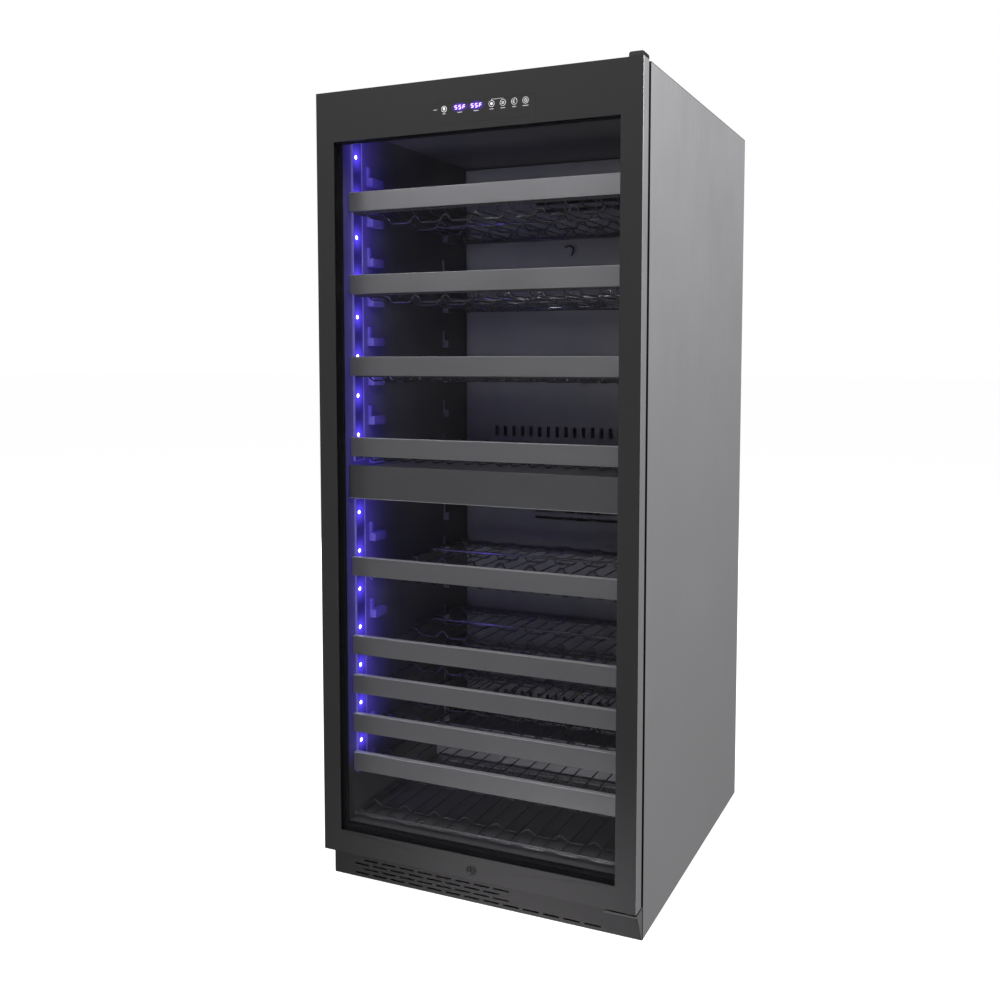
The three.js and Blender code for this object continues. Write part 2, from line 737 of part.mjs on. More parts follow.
// ---------------------------------------------------------------- shelves
// A wire bent down into a row of bottle cradles, as a flat zigzag band along X with level ends.
function cradleWire(z, y, halfX, depth) {
  const first = WIRE_END - halfX;
  const pitch = (-2 * first) / CRADLES;
  const upper = [[-halfX, z]];
  for (let i = 0; i < CRADLES; i++) {
    const x = first + i * pitch;
    upper.push([x, z], [x + pitch * 0.35, z - depth], [x + pitch * 0.65, z - depth]);
  }
  upper.push([-first, z], [halfX, z]);
  const lower = upper.map(([x, v]) => [x, v - WIRE_T]).reverse();
  return extrude("xz", [...upper, ...lower].reverse(), y, y + WIRE_T);
}

function rack(name, z, frontY, backY, depth, crossYs, cradleYs) {
  const pieces = [-ROD_X, ROD_X].map((x) => bar([x, frontY, z], [x, backY, z], ROD_R, 6));
  for (const y of crossYs) {
    pieces.push(bar([-ROD_X, y, z], [ROD_X, y, z], 3, 6));
  }
  for (const y of cradleYs) {
    pieces.push(cradleWire(z + 1.5, y, ROD_X, depth));
  }
  add(name, join(...pieces), GREY_STEEL, METAL);
}

SHELF_STEPS.forEach((step, i) => {
  const top = topAt(step);
  const n = i + 1;
  add(
    `shelf_${n}_front`,
    extrude("yz", channel(TRIM_Y, TRIM_D, top - TRIM_H, top, 1.5), -TRIM_X, TRIM_X),
    TRIM_STEEL,
    METAL,
  );
  rack(
    `shelf_${n}_rack`,
    top - ROD_DROP,
    TRIM_Y + TRIM_D + GAP,
    RACK_BACK_Y,
    CRADLE_DEPTH,
    [TRIM_Y + TRIM_D + 4, RACK_BACK_Y - 4],
    [-200, -96, 8, 112],
  );
});

rack("bottom_rack", LOWER_Z0 + GAP + 12, -311, 18, 8, [-307, 14], [-250, -120]);

export default group;
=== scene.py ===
import json
import math

import bmesh
import bpy
from mathutils import Matrix, Vector

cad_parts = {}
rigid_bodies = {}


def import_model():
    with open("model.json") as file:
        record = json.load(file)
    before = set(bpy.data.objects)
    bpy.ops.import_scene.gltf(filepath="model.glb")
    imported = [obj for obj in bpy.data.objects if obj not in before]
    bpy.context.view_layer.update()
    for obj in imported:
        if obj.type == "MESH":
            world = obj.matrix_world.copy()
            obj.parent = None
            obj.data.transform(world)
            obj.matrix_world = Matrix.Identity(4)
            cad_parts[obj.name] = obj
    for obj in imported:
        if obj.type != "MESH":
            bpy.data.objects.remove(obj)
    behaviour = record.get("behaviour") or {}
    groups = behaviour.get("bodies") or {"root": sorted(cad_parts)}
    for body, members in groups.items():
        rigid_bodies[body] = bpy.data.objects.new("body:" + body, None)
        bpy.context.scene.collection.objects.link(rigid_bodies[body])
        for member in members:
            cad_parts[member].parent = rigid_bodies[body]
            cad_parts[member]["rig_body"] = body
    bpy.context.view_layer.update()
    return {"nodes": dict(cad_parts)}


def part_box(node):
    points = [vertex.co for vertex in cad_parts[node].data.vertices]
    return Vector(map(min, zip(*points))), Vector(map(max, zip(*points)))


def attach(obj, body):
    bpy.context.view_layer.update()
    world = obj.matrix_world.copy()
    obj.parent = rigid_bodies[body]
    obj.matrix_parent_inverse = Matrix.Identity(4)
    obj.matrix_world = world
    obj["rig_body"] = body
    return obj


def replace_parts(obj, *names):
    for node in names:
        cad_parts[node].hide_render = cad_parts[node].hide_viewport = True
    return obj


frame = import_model()

MM = 0.001  # the scene is in metres, and the sizes below are in millimetres

# ---------------------------------------------------------------- sizes shared with the CAD source
GAP = 0.3  # clearance between neighbouring solids
DOOR_Y = -358  # the door's front face
LINER_X = 267  # the liner's inner wall
SHELF_COUNT = 9
ROD_X = 258  # a rack's side rods, their radius and how far they lie below the shelf front's top
ROD_R = 3.5
ROD_DROP = 34.2
BAR_R, WAVE_R, FINE_R = 2.6, 1.9, 1.3  # cross bars, cradle wires and fine wires
RACK_END = 7  # from a side rod to the first cradle
RACK_BACK_Y = 150
RACK_FLOOR_Z = 124.3  # the rods of the rack on the cabinet floor
CRADLES = 8
LOCK_X = 2
LOCK_Z = 87
STRIKE_Z = (56, 64)
COMPRESSOR = (150, 212)  # its axis in X and Y
INLET = (-224, 95)  # its middle in X and Z

# ---------------------------------------------------------------- places measured in the photograph
LED_PITCH = 71.5
LED_TOP_Z = 1326  # the highest diode
LED_LOW_Z = 250  # no diode below this
DIODE_Y = -283
PROBE_Z = 1197
MARK_Z = 1376.5  # the middle of the panel's row of marks
DISPLAY_X = (-16.3, 13.6)
LAMP_MARK_X = -45.1
BUTTON_X = (41.5, 61.7, 81.7, 101.5)

# ---------------------------------------------------------------- colours and grain directions
BLACK_STEEL = (0.0185, 0.0178, 0.0185)
# STRIP_LIGHT is the violet of the strips' light, painted on the liner and hooks as a glow
STRIP_LIGHT = (0.12, 0.07, 1.0)
LENS_LIGHT = (0.10, 0.06, 1.0)
PANEL_LIGHT = (0.16, 0.02, 1.0)
LAMP_VIOLET = (0.16, 0.09, 1.0)
WHITE = (1, 1, 1, 1)
ALONG_X = (0.012, 1.0, 1.0)  # a noise pattern drawn out along one axis
ALONG_Y = (1.0, 0.012, 1.0)
ALONG_Z = (1.0, 1.0, 0.012)


def span(node):
    """A CAD node's lowest and highest corner in millimetres."""
    low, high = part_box(node)
    return low / MM, high / MM


# ---------------------------------------------------------------- node helpers
class Look:
    """A material with one Principled shader, and short ways to add the nodes that drive it."""

    def __init__(self, name, colour, roughness, metallic=0.0, **sockets):
        self.material = bpy.data.materials.new(name)
        self.material.use_nodes = True
        self.tree = self.material.node_tree
        self.shader = self.tree.nodes["Principled BSDF"]
        self.set("Base Color", (*colour, 1.0))
        self.set("Roughness", roughness)
        self.set("Metallic", metallic)
        for socket, value in sockets.items():
            self.set(socket.replace("_", " "), value)
        self.place = self.tree.nodes.new("ShaderNodeTexCoord").outputs["Object"]

    def set(self, socket, value):
        """Sets a value that is the same all over the surface."""
        self.shader.inputs[socket].default_value = value

    def drive(self, socket, output):
        """Links a value that changes over the surface."""
        self.tree.links.new(output, self.shader.inputs[socket])

    def noise(self, scale, detail=2.0, stretch=(1.0, 1.0, 1.0), rough=0.5):
        mapping = self.tree.nodes.new("ShaderNodeMapping")
        mapping.inputs["Scale"].default_value = stretch
        self.tree.links.new(self.place, mapping.inputs["Vector"])
        noise = self.tree.nodes.new("ShaderNodeTexNoise")
        noise.inputs["Scale"].default_value = scale
        noise.inputs["Detail"].default_value = detail
        noise.inputs["Roughness"].default_value = rough
        self.tree.links.new(mapping.outputs[0], noise.inputs["Vector"])
        return noise.outputs["Fac"]

    def cells(self, scale):
        cell = self.tree.nodes.new("ShaderNodeTexVoronoi")
        cell.inputs["Scale"].default_value = scale
        self.tree.links.new(self.place, cell.inputs["Vector"])
        return cell.outputs["Color"]

    def axes(self):
        """The place on the surface, split into X, Y and Z in metres."""
        split = self.tree.nodes.new("ShaderNodeSeparateXYZ")
        self.tree.links.new(self.place, split.inputs[0])
        return split.outputs

    def remap(self, value, low, high, start=0.3, end=0.7):
        node = self.tree.nodes.new("ShaderNodeMapRange")
        node.inputs["From Min"].default_value = start
        node.inputs["From Max"].default_value = end
        node.inputs["To Min"].default_value = low
        node.inputs["To Max"].default_value = high
        self.tree.links.new(value, node.inputs["Value"])
        return node.outputs["Result"]

    def maths(self, operation, a, b=0.0):
        node = self.tree.nodes.new("ShaderNodeMath")
        node.operation = operation
        for socket, value in zip(node.inputs, (a, b)):
            if isinstance(value, (int, float)):
                socket.default_value = value
            else:
                self.tree.links.new(value, socket)
        return node.outputs[0]

    def squares(self, a, b):
        return self.maths("ADD", self.maths("MULTIPLY", a, a), self.maths("MULTIPLY", b, b))

    def blend(self, factor, a, b):
        node = self.tree.nodes.new("ShaderNodeMix")
        node.data_type = "RGBA"
        self.tree.links.new(factor, node.inputs[0])
        for socket, value in zip((node.inputs[6], node.inputs[7]), (a, b)):
            if isinstance(value, tuple):
                socket.default_value = (*value, 1.0)
            else:
                self.tree.links.new(value, socket)
        return node.outputs[2]

    def bump(self, height, strength, distance):
        node = self.tree.nodes.new("ShaderNodeBump")
        node.inputs["Strength"].default_value = strength
        node.inputs["Distance"].default_value = distance
        self.tree.links.new(height, node.inputs["Height"])
        self.drive("Normal", node.outputs["Normal"])


def scaled(colour, factor):
    return tuple(c * factor for c in colour)


def brushed(name, colour, roughness, stretch, metallic=1.0, streak=0.10, smudge=0.05, **sockets):
    """Brushed sheet metal: fine streaks along one axis and faint soft smudges."""
    look = Look(name, colour, roughness, metallic, **sockets)
    fine = look.noise(900.0, 3.0, stretch, 0.6)
    broad = look.noise(5.0, 2.0)
    dark, light = scaled(colour, 1 - streak), scaled(colour, 1 + streak)
    tone = look.blend(look.remap(fine, 0.0, 1.0), dark, light)
    tone = look.blend(look.remap(broad, 0.0, 0.25), tone, scaled(colour, 1 + smudge))
    look.drive("Base Color", tone)
    grain = look.remap(fine, roughness - 0.04, roughness + 0.04)
    look.drive("Roughness", look.maths("ADD", grain, look.remap(broad, -smudge, smudge)))
    look.bump(fine, 0.08, 0.0001)
    return look.material


def moulded(name, colour, roughness, grain=1400.0, depth=0.12, mottle=0.12, **sockets):
    """Moulded plastic or rubber: a fine grain and a slight change of tone from place to place."""
    look = Look(name, colour, roughness, **sockets)
    fine = look.noise(grain, 2.0)
    broad = look.noise(9.0, 3.0)
    dark, light = scaled(colour, 1 - mottle), scaled(colour, 1 + mottle)
    look.drive("Base Color", look.blend(look.remap(broad, 0.0, 1.0), dark, light))
    look.drive("Roughness", look.remap(fine, roughness - 0.06, roughness + 0.06))
    look.bump(fine, depth, 0.0002)
    return look.material


def galvanised(name, colour, roughness):
    """Zinc-coated sheet with its pattern of crystal patches."""
    look = Look(name, colour, roughness, 0.85)
    patch = look.cells(105.0)
    tone = look.noise(40.0, 3.0)
    dark, light = scaled(colour, 0.91), scaled(colour, 1.07)
    mixed = look.blend(look.remap(patch, 0.0, 1.0, 0.1, 0.9), dark, light)
    look.drive("Base Color", look.blend(look.remap(tone, 0.0, 0.4), mixed, scaled(colour, 0.9)))
    look.drive("Roughness", look.remap(patch, roughness - 0.05, roughness + 0.06, 0.1, 0.9))
    look.bump(tone, 0.05, 0.0002)
    return look.material


def pane(name, tint, mirror):
    """Coated flat glass: what is behind it shows through a tint, and a weak mirror lies on top."""
    look = Look(name, tint, 0.03)
    nodes, links = look.tree.nodes, look.tree.links
    clear = nodes.new("ShaderNodeBsdfTransparent")
    smear = look.remap(look.noise(6.0, 3.0), 0.0, 0.06)
    links.new(look.blend(smear, tint, scaled(tint, 0.9)), clear.inputs["Color"])
    gloss = nodes.new("ShaderNodeBsdfGlossy")
    gloss.inputs["Color"].default_value = (0.95, 0.95, 1.0, 1.0)
    gloss.inputs["Roughness"].default_value = 0.03
    fresnel = nodes.new("ShaderNodeFresnel")
    fresnel.inputs["IOR"].default_value = 1.45
    both = nodes.new("ShaderNodeMixShader")
    links.new(look.maths("MULTIPLY", fresnel.outputs[0], mirror), both.inputs[0])
    links.new(clear.outputs[0], both.inputs[1])
    links.new(gloss.outputs[0], both.inputs[2])
    nodes.remove(look.shader)
    links.new(both.outputs[0], nodes["Material Output"].inputs["Surface"])
    return look.material


def glowing(name, colour, glow, strength):
    """A lit part: a plain body whose own light varies a little over it."""
    look = Look(name, colour, 0.4, Emission_Color=(*glow, 1.0))
    flicker = look.remap(look.noise(300.0, 2.0), strength * 0.9, strength * 1.1)
    look.drive("Emission Strength", flicker)
    return look.material


def diode_distance(look, place):
    """Metres along Y from the row of diodes, and metres on the wall from the nearest diode."""
    below_top = look.maths("SUBTRACT", place["Z"], LED_TOP_Z * MM)
    turns = look.maths("MULTIPLY", below_top, 1 / (LED_PITCH * MM))
    part = look.maths("SUBTRACT", look.maths("FRACT", look.maths("ADD", turns, 0.5)), 0.5)
    up = look.maths("MULTIPLY", part, LED_PITCH * MM)
    along = look.maths("SUBTRACT", place["Y"], DIODE_Y * MM)
    return along, look.maths("SQRT", look.squares(up, along))


def above_strip_end(look, place):
    """1 beside the light strips, fading to 0 below the lowest diode."""
    return look.remap(place["Z"], 0.0, 1.0, 0.205, 0.25)


def lit_by_strips(name, colour, strength):
    """Moulded plastic near the light strips: their violet light is painted on it as a glow that
    fades along the wall.
    """
    look = Look(name, colour, 0.5, Emission_Color=(*STRIP_LIGHT, 1.0))
    fine = look.noise(500.0, 2.0)
    look.drive("Roughness", look.remap(fine, 0.46, 0.56))
    look.bump(fine, 0.05, 0.0002)
    mottle = look.remap(look.noise(7.0, 2.0), 0.0, 1.0)
    look.drive("Base Color", look.blend(mottle, scaled(colour, 0.9), scaled(colour, 1.1)))
    place = look.axes()
    along, distance = diode_distance(look, place)
    near = look.maths("POWER", look.remap(distance, 1.0, 0.0, 0.0, 0.06), 2.0)
    wide = look.maths("POWER", look.remap(look.maths("ABSOLUTE", along), 1.0, 0.0, 0.01, 0.15), 2.0)
    left_wall = look.remap(place["X"], 1.0, 0.0, -0.2655, -0.236)
    inner_face = look.remap(place["X"], 0.0, 1.0, -0.2683, -0.2668)
    left_wall = look.maths("MULTIPLY", left_wall, above_strip_end(look, place))
    where = look.maths("MULTIPLY", left_wall, inner_face)
    glow = look.maths("MULTIPLY", look.maths("ADD", near, wide), where)
    look.drive("Emission Strength", look.maths("MULTIPLY", glow, strength))
    return look.material


def strip_lens(name):
    """The light strip's violet lens: brightest round each diode, fading between them."""
    look = Look(name, (0.02, 0.015, 0.08), 0.35, Emission_Color=(*LENS_LIGHT, 1.0))
    place = look.axes()
    distance = diode_distance(look, place)[1]
    near = look.maths("POWER", look.remap(distance, 1.0, 0.0, 0.0, 0.034), 2.0)
    lit = look.maths("ADD", look.maths("MULTIPLY", near, 1.9), 0.17)
    look.drive("Emission Strength", look.maths("MULTIPLY", lit, above_strip_end(look, place)))
    look.bump(look.noise(900.0), 0.1, 0.0002)
    return look.material


def touch_panel(name, colour, roughness):
    """The touch panel: like the steel round it, with a violet glow round each lit display."""
    half_width, half_height = 0.0165, 0.0085  # of the glow's ellipse, in metres
    look = Look(
        name, colour, roughness, 0.1, Specular_IOR_Level=0.05, Emission_Color=(*PANEL_LIGHT, 1.0)
    )
    fine = look.remap(look.noise(900.0, 3.0, ALONG_Z, 0.6), 0.0, 1.0)
    look.drive("Base Color", look.blend(fine, scaled(colour, 0.98), scaled(colour, 1.02)))
    place = look.axes()
    up = look.maths("DIVIDE", look.maths("SUBTRACT", place["Z"], MARK_Z * MM), half_height)
    glows = []
    for centre in DISPLAY_X:
        along = look.maths("DIVIDE", look.maths("SUBTRACT", place["X"], centre * MM), half_width)
        distance = look.maths("SQRT", look.squares(along, up))
        glows.append(look.maths("POWER", look.remap(distance, 1.0, 0.0, 0.25, 1.0), 1.5))
    look.drive("Emission Strength", look.maths("MULTIPLY", look.maths("ADD", *glows), 0.9))
    return look.material


M = {
    "black_steel": brushed(
        "black_steel", BLACK_STEEL, 0.5, ALONG_Z, 0.1, 0.05, 0.03, Specular_IOR_Level=0.05
    ),
    "door_side": brushed("door_side", (0.50, 0.50, 0.515), 0.4, ALONG_Z, 0.7, 0.03, 0.03),
    "shell_grey": brushed("shell_grey", (0.485, 0.485, 0.50), 0.45, ALONG_Z, 0.6, 0.025, 0.03),
    "shell_top": brushed("shell_top", (0.20, 0.20, 0.205), 0.55, ALONG_Y, 0.4, 0.04),
    "trim_steel": brushed("trim_steel", (0.33, 0.33, 0.334), 0.40, ALONG_X, 0.8, 0.03),
    # a lighter copy of the trim steel for faces that catch the light: painted highlight
    "trim_painted_highlight": brushed("trim_painted_highlight", (0.62, 0.62, 0.625), 0.5, ALONG_X, 0.3, 0.03),
    "divider_steel": brushed("divider_steel", (0.20, 0.20, 0.202), 0.40, ALONG_X, 0.8, 0.03),
    "lock_steel": brushed("lock_steel", (0.07, 0.07, 0.073), 0.3, ALONG_Z, 0.9, 0.06),
    "hinge_steel": brushed("hinge_steel", (0.42, 0.42, 0.43), 0.3, ALONG_X, 1.0, 0.06),
    "zinc": galvanised("zinc", (0.42, 0.43, 0.44), 0.42),
    "fin": brushed("fin_metal", (0.62, 0.63, 0.64), 0.35, ALONG_Z, 1.0, 0.08),
    "copper": brushed("copper", (0.62, 0.30, 0.18), 0.3, ALONG_X, 1.0, 0.12),
    "wire": brushed("wire", (0.06, 0.06, 0.064), 0.28, (0.3, 0.3, 0.3), 0.35, 0.1),
    # a lighter copy of the wire: a painted highlight on chosen bars and cradle flats
    "polished": brushed("wire_painted_glint", (0.40, 0.40, 0.41), 0.25, ALONG_X, 0.8, 0.05),
    # the strips' violet light is painted on the liner and the hooks as a glow
    "liner": lit_by_strips("liner_black", (0.105, 0.105, 0.108), 0.17),
    "duct": moulded("duct_grey", (0.155, 0.155, 0.16), 0.5, 500.0, 0.05),
    # a darker copy of the duct grey for the lower zone: painted shade
    "duct_low": moulded("duct_grey_painted_shade", (0.10, 0.10, 0.104), 0.5, 500.0, 0.05),
    "hook": lit_by_strips("hook_plastic", (0.10, 0.10, 0.11), 0.55),
    "plastic": moulded("black_plastic", (0.008, 0.008, 0.009), 0.45, Specular_IOR_Level=0.25),
    "cap": moulded("cap_plastic", (0.008, 0.009, 0.010), 0.42, Specular_IOR_Level=0.2),
    "fan": moulded("fan_plastic", (0.018, 0.018, 0.02), 0.35),
    "rubber": moulded("gasket_rubber", (0.012, 0.012, 0.013), 0.62, 900.0, 0.2),
    "spacer": moulded("spacer_black", (0.004, 0.004, 0.005), 0.5, Specular_IOR_Level=0.2),
    "foam": moulded("foam", (0.72, 0.62, 0.36), 0.9, 260.0, 0.8),
    "paint": moulded("compressor_black", (0.010, 0.010, 0.011), 0.28, 500.0, 0.1),
    "touch": touch_panel("touch_panel", BLACK_STEEL, 0.5),
    "glass": pane("door_glass", (0.93, 0.93, 0.935), 0.16),
    "lens": strip_lens("strip_lens"),
    "diode": glowing("diode", (0.8, 0.8, 0.9), (0.60, 0.57, 1.0), 12.0),
    "strip_edge": glowing("strip_edge", (0.2, 0.2, 0.3), (0.22, 0.15, 1.0), 0.30),
    "digit": glowing("digit", (0.6, 0.5, 0.9), (0.56, 0.34, 1.0), 2.2),
    "icon": glowing("icon", (0.55, 0.55, 0.56), (0.5, 0.5, 0.52), 0.12),
    "icon_dim": glowing("icon_dim", (0.30, 0.30, 0.31), (0.4, 0.4, 0.42), 0.06),
}


# ---------------------------------------------------------------- mesh helpers
def finish_piece(name, bm, body, look):
    """Turns a mesh in millimetres into a named piece that rides on a body."""
    bmesh.ops.scale(bm, vec=(MM, MM, MM), verts=bm.verts)
    mesh = bpy.data.meshes.new(name)
    bm.to_mesh(mesh)
    bm.free()
    piece = bpy.data.objects.new(name, mesh)
    bpy.context.scene.collection.objects.link(piece)
    for one in look if isinstance(look, list) else [look]:
        mesh.materials.append(M[one])
    mesh.polygons.foreach_set("use_smooth", [True] * len(mesh.polygons))
    mesh.set_sharp_from_angle(angle=math.radians(35))
    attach(piece, body)
    return piece


def split_large_faces(bm):
    bmesh.ops.triangulate(bm, faces=[f for f in bm.faces if len(f.verts) > 4])


def refine(node, look, width, segments=2, *, suffix, pick=None):
    """A CAD node's own shape, in its place, with flat faces made whole and edges rounded.

    pick(centre, normal) says which of the listed materials a face gets.
    """
    source = frame["nodes"][node]
    body = source["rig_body"]
    bm = bmesh.new()
    bm.from_mesh(source.data)
    bmesh.ops.scale(bm, vec=(1 / MM, 1 / MM, 1 / MM), verts=bm.verts)
    bmesh.ops.remove_doubles(bm, verts=bm.verts, dist=0.005)
    bmesh.ops.dissolve_limit(
        bm, angle_limit=math.radians(0.5), verts=bm.verts, edges=bm.edges, delimit={"NORMAL"}
    )
    split_large_faces(bm)
    limit = math.radians(30)
    sharp = [e for e in bm.edges if len(e.link_faces) == 2 and e.calc_face_angle(0.0) > limit]
    bmesh.ops.bevel(
        bm, geom=sharp, offset=width, offset_type="OFFSET", segments=segments,
        profile=0.5, affect="EDGES", clamp_overlap=True, miter_outer="ARC",
    )
    split_large_faces(bm)
    if pick is not None:
        bm.normal_update()
        for face in bm.faces:
            face.material_index = int(pick(face.calc_center_median(), face.normal))
    piece = finish_piece(f"{node}_{suffix}", bm, body, look)
    even = piece.modifiers.new("even", "WEIGHTED_NORMAL")
    even.keep_sharp = True
    even.weight = 80
    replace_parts(piece, node)


def block(bm, x0, x1, y0, y1, z0, z1, bevel=0.0, segments=2):
    """A cuboid, with its edges rounded if asked."""
    made = bmesh.ops.create_cube(bm, size=1.0)["verts"]
    bmesh.ops.scale(bm, vec=(x1 - x0, y1 - y0, z1 - z0), verts=made)
    bmesh.ops.translate(bm, vec=((x0 + x1) / 2, (y0 + y1) / 2, (z0 + z1) / 2), verts=made)
    if bevel > 0:
        edges = list({e for v in made for e in v.link_edges})
        bmesh.ops.bevel(
            bm, geom=edges, offset=bevel, segments=segments, profile=0.5, affect="EDGES"
        )


def rounded(points, radius, steps=4):
    """A path with each inner corner turned into an arc."""
    points = [Vector(p) for p in points]
    out = [points[0]]
    for before, corner, after in zip(points, points[1:], points[2:]):
        a, b = (before - corner), (after - corner)
        reach = min(radius, a.length * 0.45, b.length * 0.45)
        start, end = corner + a.normalized() * reach, corner + b.normalized() * reach
        for i in range(steps + 1):
            t = i / steps
            out.append(start * (1 - t) ** 2 + corner * 2 * t * (1 - t) + end * t**2)
    return [*out, points[-1]]


def sweep(bm, points, radius, sides):
    """A round wire along a path, closed at both ends."""
    points = [Vector(p) for p in points]
    normal = None
    rings = []
    for i, point in enumerate(points):
        ahead = points[min(i + 1, len(points) - 1)] - points[max(i - 1, 0)]
        ahead.normalize()
        if normal is None:
            normal = ahead.orthogonal().normalized()
        normal = (normal - ahead * normal.dot(ahead)).normalized()
        side = ahead.cross(normal)
        ring = []
        for k in range(sides):
            turn = math.tau * k / sides
            out = normal * math.cos(turn) + side * math.sin(turn)
            ring.append(bm.verts.new(point + out * radius))
        rings.append(ring)
    for low, high in zip(rings, rings[1:]):
        for k in range(sides):
            bm.faces.new((low[k], low[(k + 1) % sides], high[(k + 1) % sides], high[k]))
    bm.faces.new(list(reversed(rings[0])))
    bm.faces.new(rings[-1])


def lathe(bm, profile, centre, axis, steps):
    """A turned surface. The profile is (radius, height) pairs, and radius 0 closes it."""
    turn = Matrix.Identity(3) if axis == "Z" else Matrix.Rotation(math.radians(90), 3, "X")
    rings = []
    for radius, height in profile:
        if radius < 1e-6:
            rings.append([bm.verts.new(Vector(centre) + turn @ Vector((0, 0, height)))])
            continue
        ring = []
        for k in range(steps):
            a = math.tau * k / steps
            spot = turn @ Vector((radius * math.cos(a), radius * math.sin(a), height))
            ring.append(bm.verts.new(Vector(centre) + spot))
        rings.append(ring)
    for low, high in zip(rings, rings[1:]):
        for k in range(steps):
            n = (k + 1) % steps
            if len(low) == 1 and len(high) == 1:
                continue
            if len(low) == 1:
                bm.faces.new((low[0], high[n], high[k]))
            elif len(high) == 1:
                bm.faces.new((low[k], low[n], high[0]))
            else:
                bm.faces.new((low[k], low[n], high[n], high[k]))


def mend(bm):
    """Turns every face outwards."""
    bmesh.ops.recalc_face_normals(bm, faces=bm.faces)


def ring_sweep(bm, profile, half_x, z0, z1, y_base):
    """A closed profile of (outwards, y) pairs carried round a rectangle in XZ, mitred."""
    corners = [(-half_x, z0, -1, -1), (half_x, z0, 1, -1), (half_x, z1, 1, 1), (-half_x, z1, -1, 1)]
    rings = []
    for x, z, sx, sz in corners:
        rings.append([bm.verts.new((x + sx * out, y_base + y, z + sz * out)) for out, y in profile])
    count = len(profile)
    for i, ring in enumerate(rings):
        following = rings[(i + 1) % len(rings)]
        for k in range(count):
            n = (k + 1) % count
            bm.faces.new((ring[k], following[k], following[n], ring[n]))


def stadium(cx, cz, length, height, steps=6):
    """The outline of a slot with round ends, in XZ."""
    r = height / 2
    points = []
    for side, start in ((1, -90), (-1, 90)):
        for i in range(steps + 1):
            a = math.radians(start + 180 * i / steps)
            points.append((cx + side * (length / 2 - r) + r * math.cos(a), cz + r * math.sin(a)))
    return points


def plate(outline, holes, y0, y1, bevel=0.25):
    """The mesh of a flat plate in XZ from y0 to y1, with through holes and rounded edges."""
    curve = bpy.data.curves.new("plate", "CURVE")
    curve.dimensions = "2D"
    curve.fill_mode = "BOTH"
    curve.extrude = (y1 - y0) / 2 - bevel
    curve.bevel_depth = bevel
    curve.bevel_resolution = 1
    curve.offset = -bevel
    for loop in [outline, *holes]:
        spline = curve.splines.new("POLY")
        spline.points.add(len(loop) - 1)
        for point, (x, z) in zip(spline.points, loop):
            point.co = (x, z, 0.0, 1.0)
        spline.use_cyclic_u = True
    shape = bpy.data.objects.new("plate", curve)
    bpy.context.scene.collection.objects.link(shape)
    bpy.context.view_layer.update()
    graph = bpy.context.evaluated_depsgraph_get()
    mesh = bpy.data.meshes.new_from_object(shape.evaluated_get(graph))
    bm = bmesh.new()
    bm.from_mesh(mesh)
    bpy.data.objects.remove(shape)
    bpy.data.curves.remove(curve)
    bpy.data.meshes.remove(mesh)
    bmesh.ops.remove_doubles(bm, verts=bm.verts, dist=0.001)
    upright = Matrix.Rotation(math.radians(90), 3, "X")
    bmesh.ops.rotate(bm, cent=(0, 0, 0), matrix=upright, verts=bm.verts)
    bmesh.ops.translate(bm, vec=(0, (y0 + y1) / 2, 0), verts=bm.verts)
    mend(bm)
    return bm


def rectangle(x0, x1, z0, z1):
    """The outline of a rectangle in XZ."""
    return [(x0, z0), (x1, z0), (x1, z1), (x0, z1)]


# ---------------------------------------------------------------- cabinet
def make_cabinet():
    flange_y = span("side_panel_left")[0].y + 0.8
    bracket_top = 61
    hook_tip, wall = 250, LINER_X - 0.6
    lip_y, lip_z = -296, 135
    for side in ("left", "right"):
        refine(
            f"side_panel_{side}", ["shell_grey", "plastic"], 0.3, suffix="sheet",
            pick=lambda spot, normal: spot.y < flange_y and normal.y < -0.3,
        )
    refine("top_panel", "shell_top", 0.4, suffix="sheet")
    refine("back_panel", "zinc", 0.4, suffix="sheet")
    refine("base_pan", "zinc", 0.4, suffix="sheet")
    refine("foam_insulation", "foam", 2.0, suffix="body")
    # The divider's lower front faces get the lighter trim look, a painted highlight along its
    # bottom edge.
    refine(
        "zone_divider_trim", ["divider_steel", "trim_painted_highlight"], 0.7, 3, suffix="sheet",
        pick=lambda spot, normal: normal.y < -0.1 and normal.z < -0.2,
    )
    refine(
        "hinge_bracket_bottom", ["black_steel", "hinge_steel"], 0.3, suffix="steel",
        pick=lambda spot, normal: normal.x > 0.5 or (spot.z > bracket_top and normal.z > -0.5),
    )
    refine("hinge_bracket_top", "hinge_steel", 0.5, suffix="steel")
    refine("hinge_cover", "cap", 0.8, 3, suffix="cap")

    def liner_look(spot, normal):
        """Black for the front lip of the floor, hook plastic for the supports on the side walls."""
        if spot.y < lip_y and spot.z < lip_z:
            return 2
        return hook_tip < abs(spot.x) < wall and -250 < spot.y < 110

    # The lower zone's duct cover gets the darker copy of the duct grey, painted shade.
    for zone, duct_look in (("upper", "duct"), ("lower", "duct_low")):
        refine(
            f"liner_{zone}", ["liner", "hook", "plastic"], 0.8,
            suffix="skin", pick=liner_look,
        )
        refine(f"air_duct_{zone}", duct_look, 0.6, suffix="cover")
    make_sensor()
    make_kick_plate()
    make_feet()


def make_sensor():
    """The upper zone's temperature probe: a small hooked clip on the duct cover."""
    face = span("air_duct_upper")[0].y
    path = [
        (-30, face + 1, PROBE_Z), (-30, face - 12, PROBE_Z),
        (-16, face - 14, PROBE_Z + 1), (-9, face - 14, PROBE_Z - 3),
        (-11, face - 12, PROBE_Z - 13), (-15, face - 12, PROBE_Z - 19),
    ]
    bm = bmesh.new()
    sweep(bm, rounded(path, 5.0, 5), 1.8, 12)
    mend(bm)
    finish_piece("probe_clip", bm, "cabinet", "plastic")


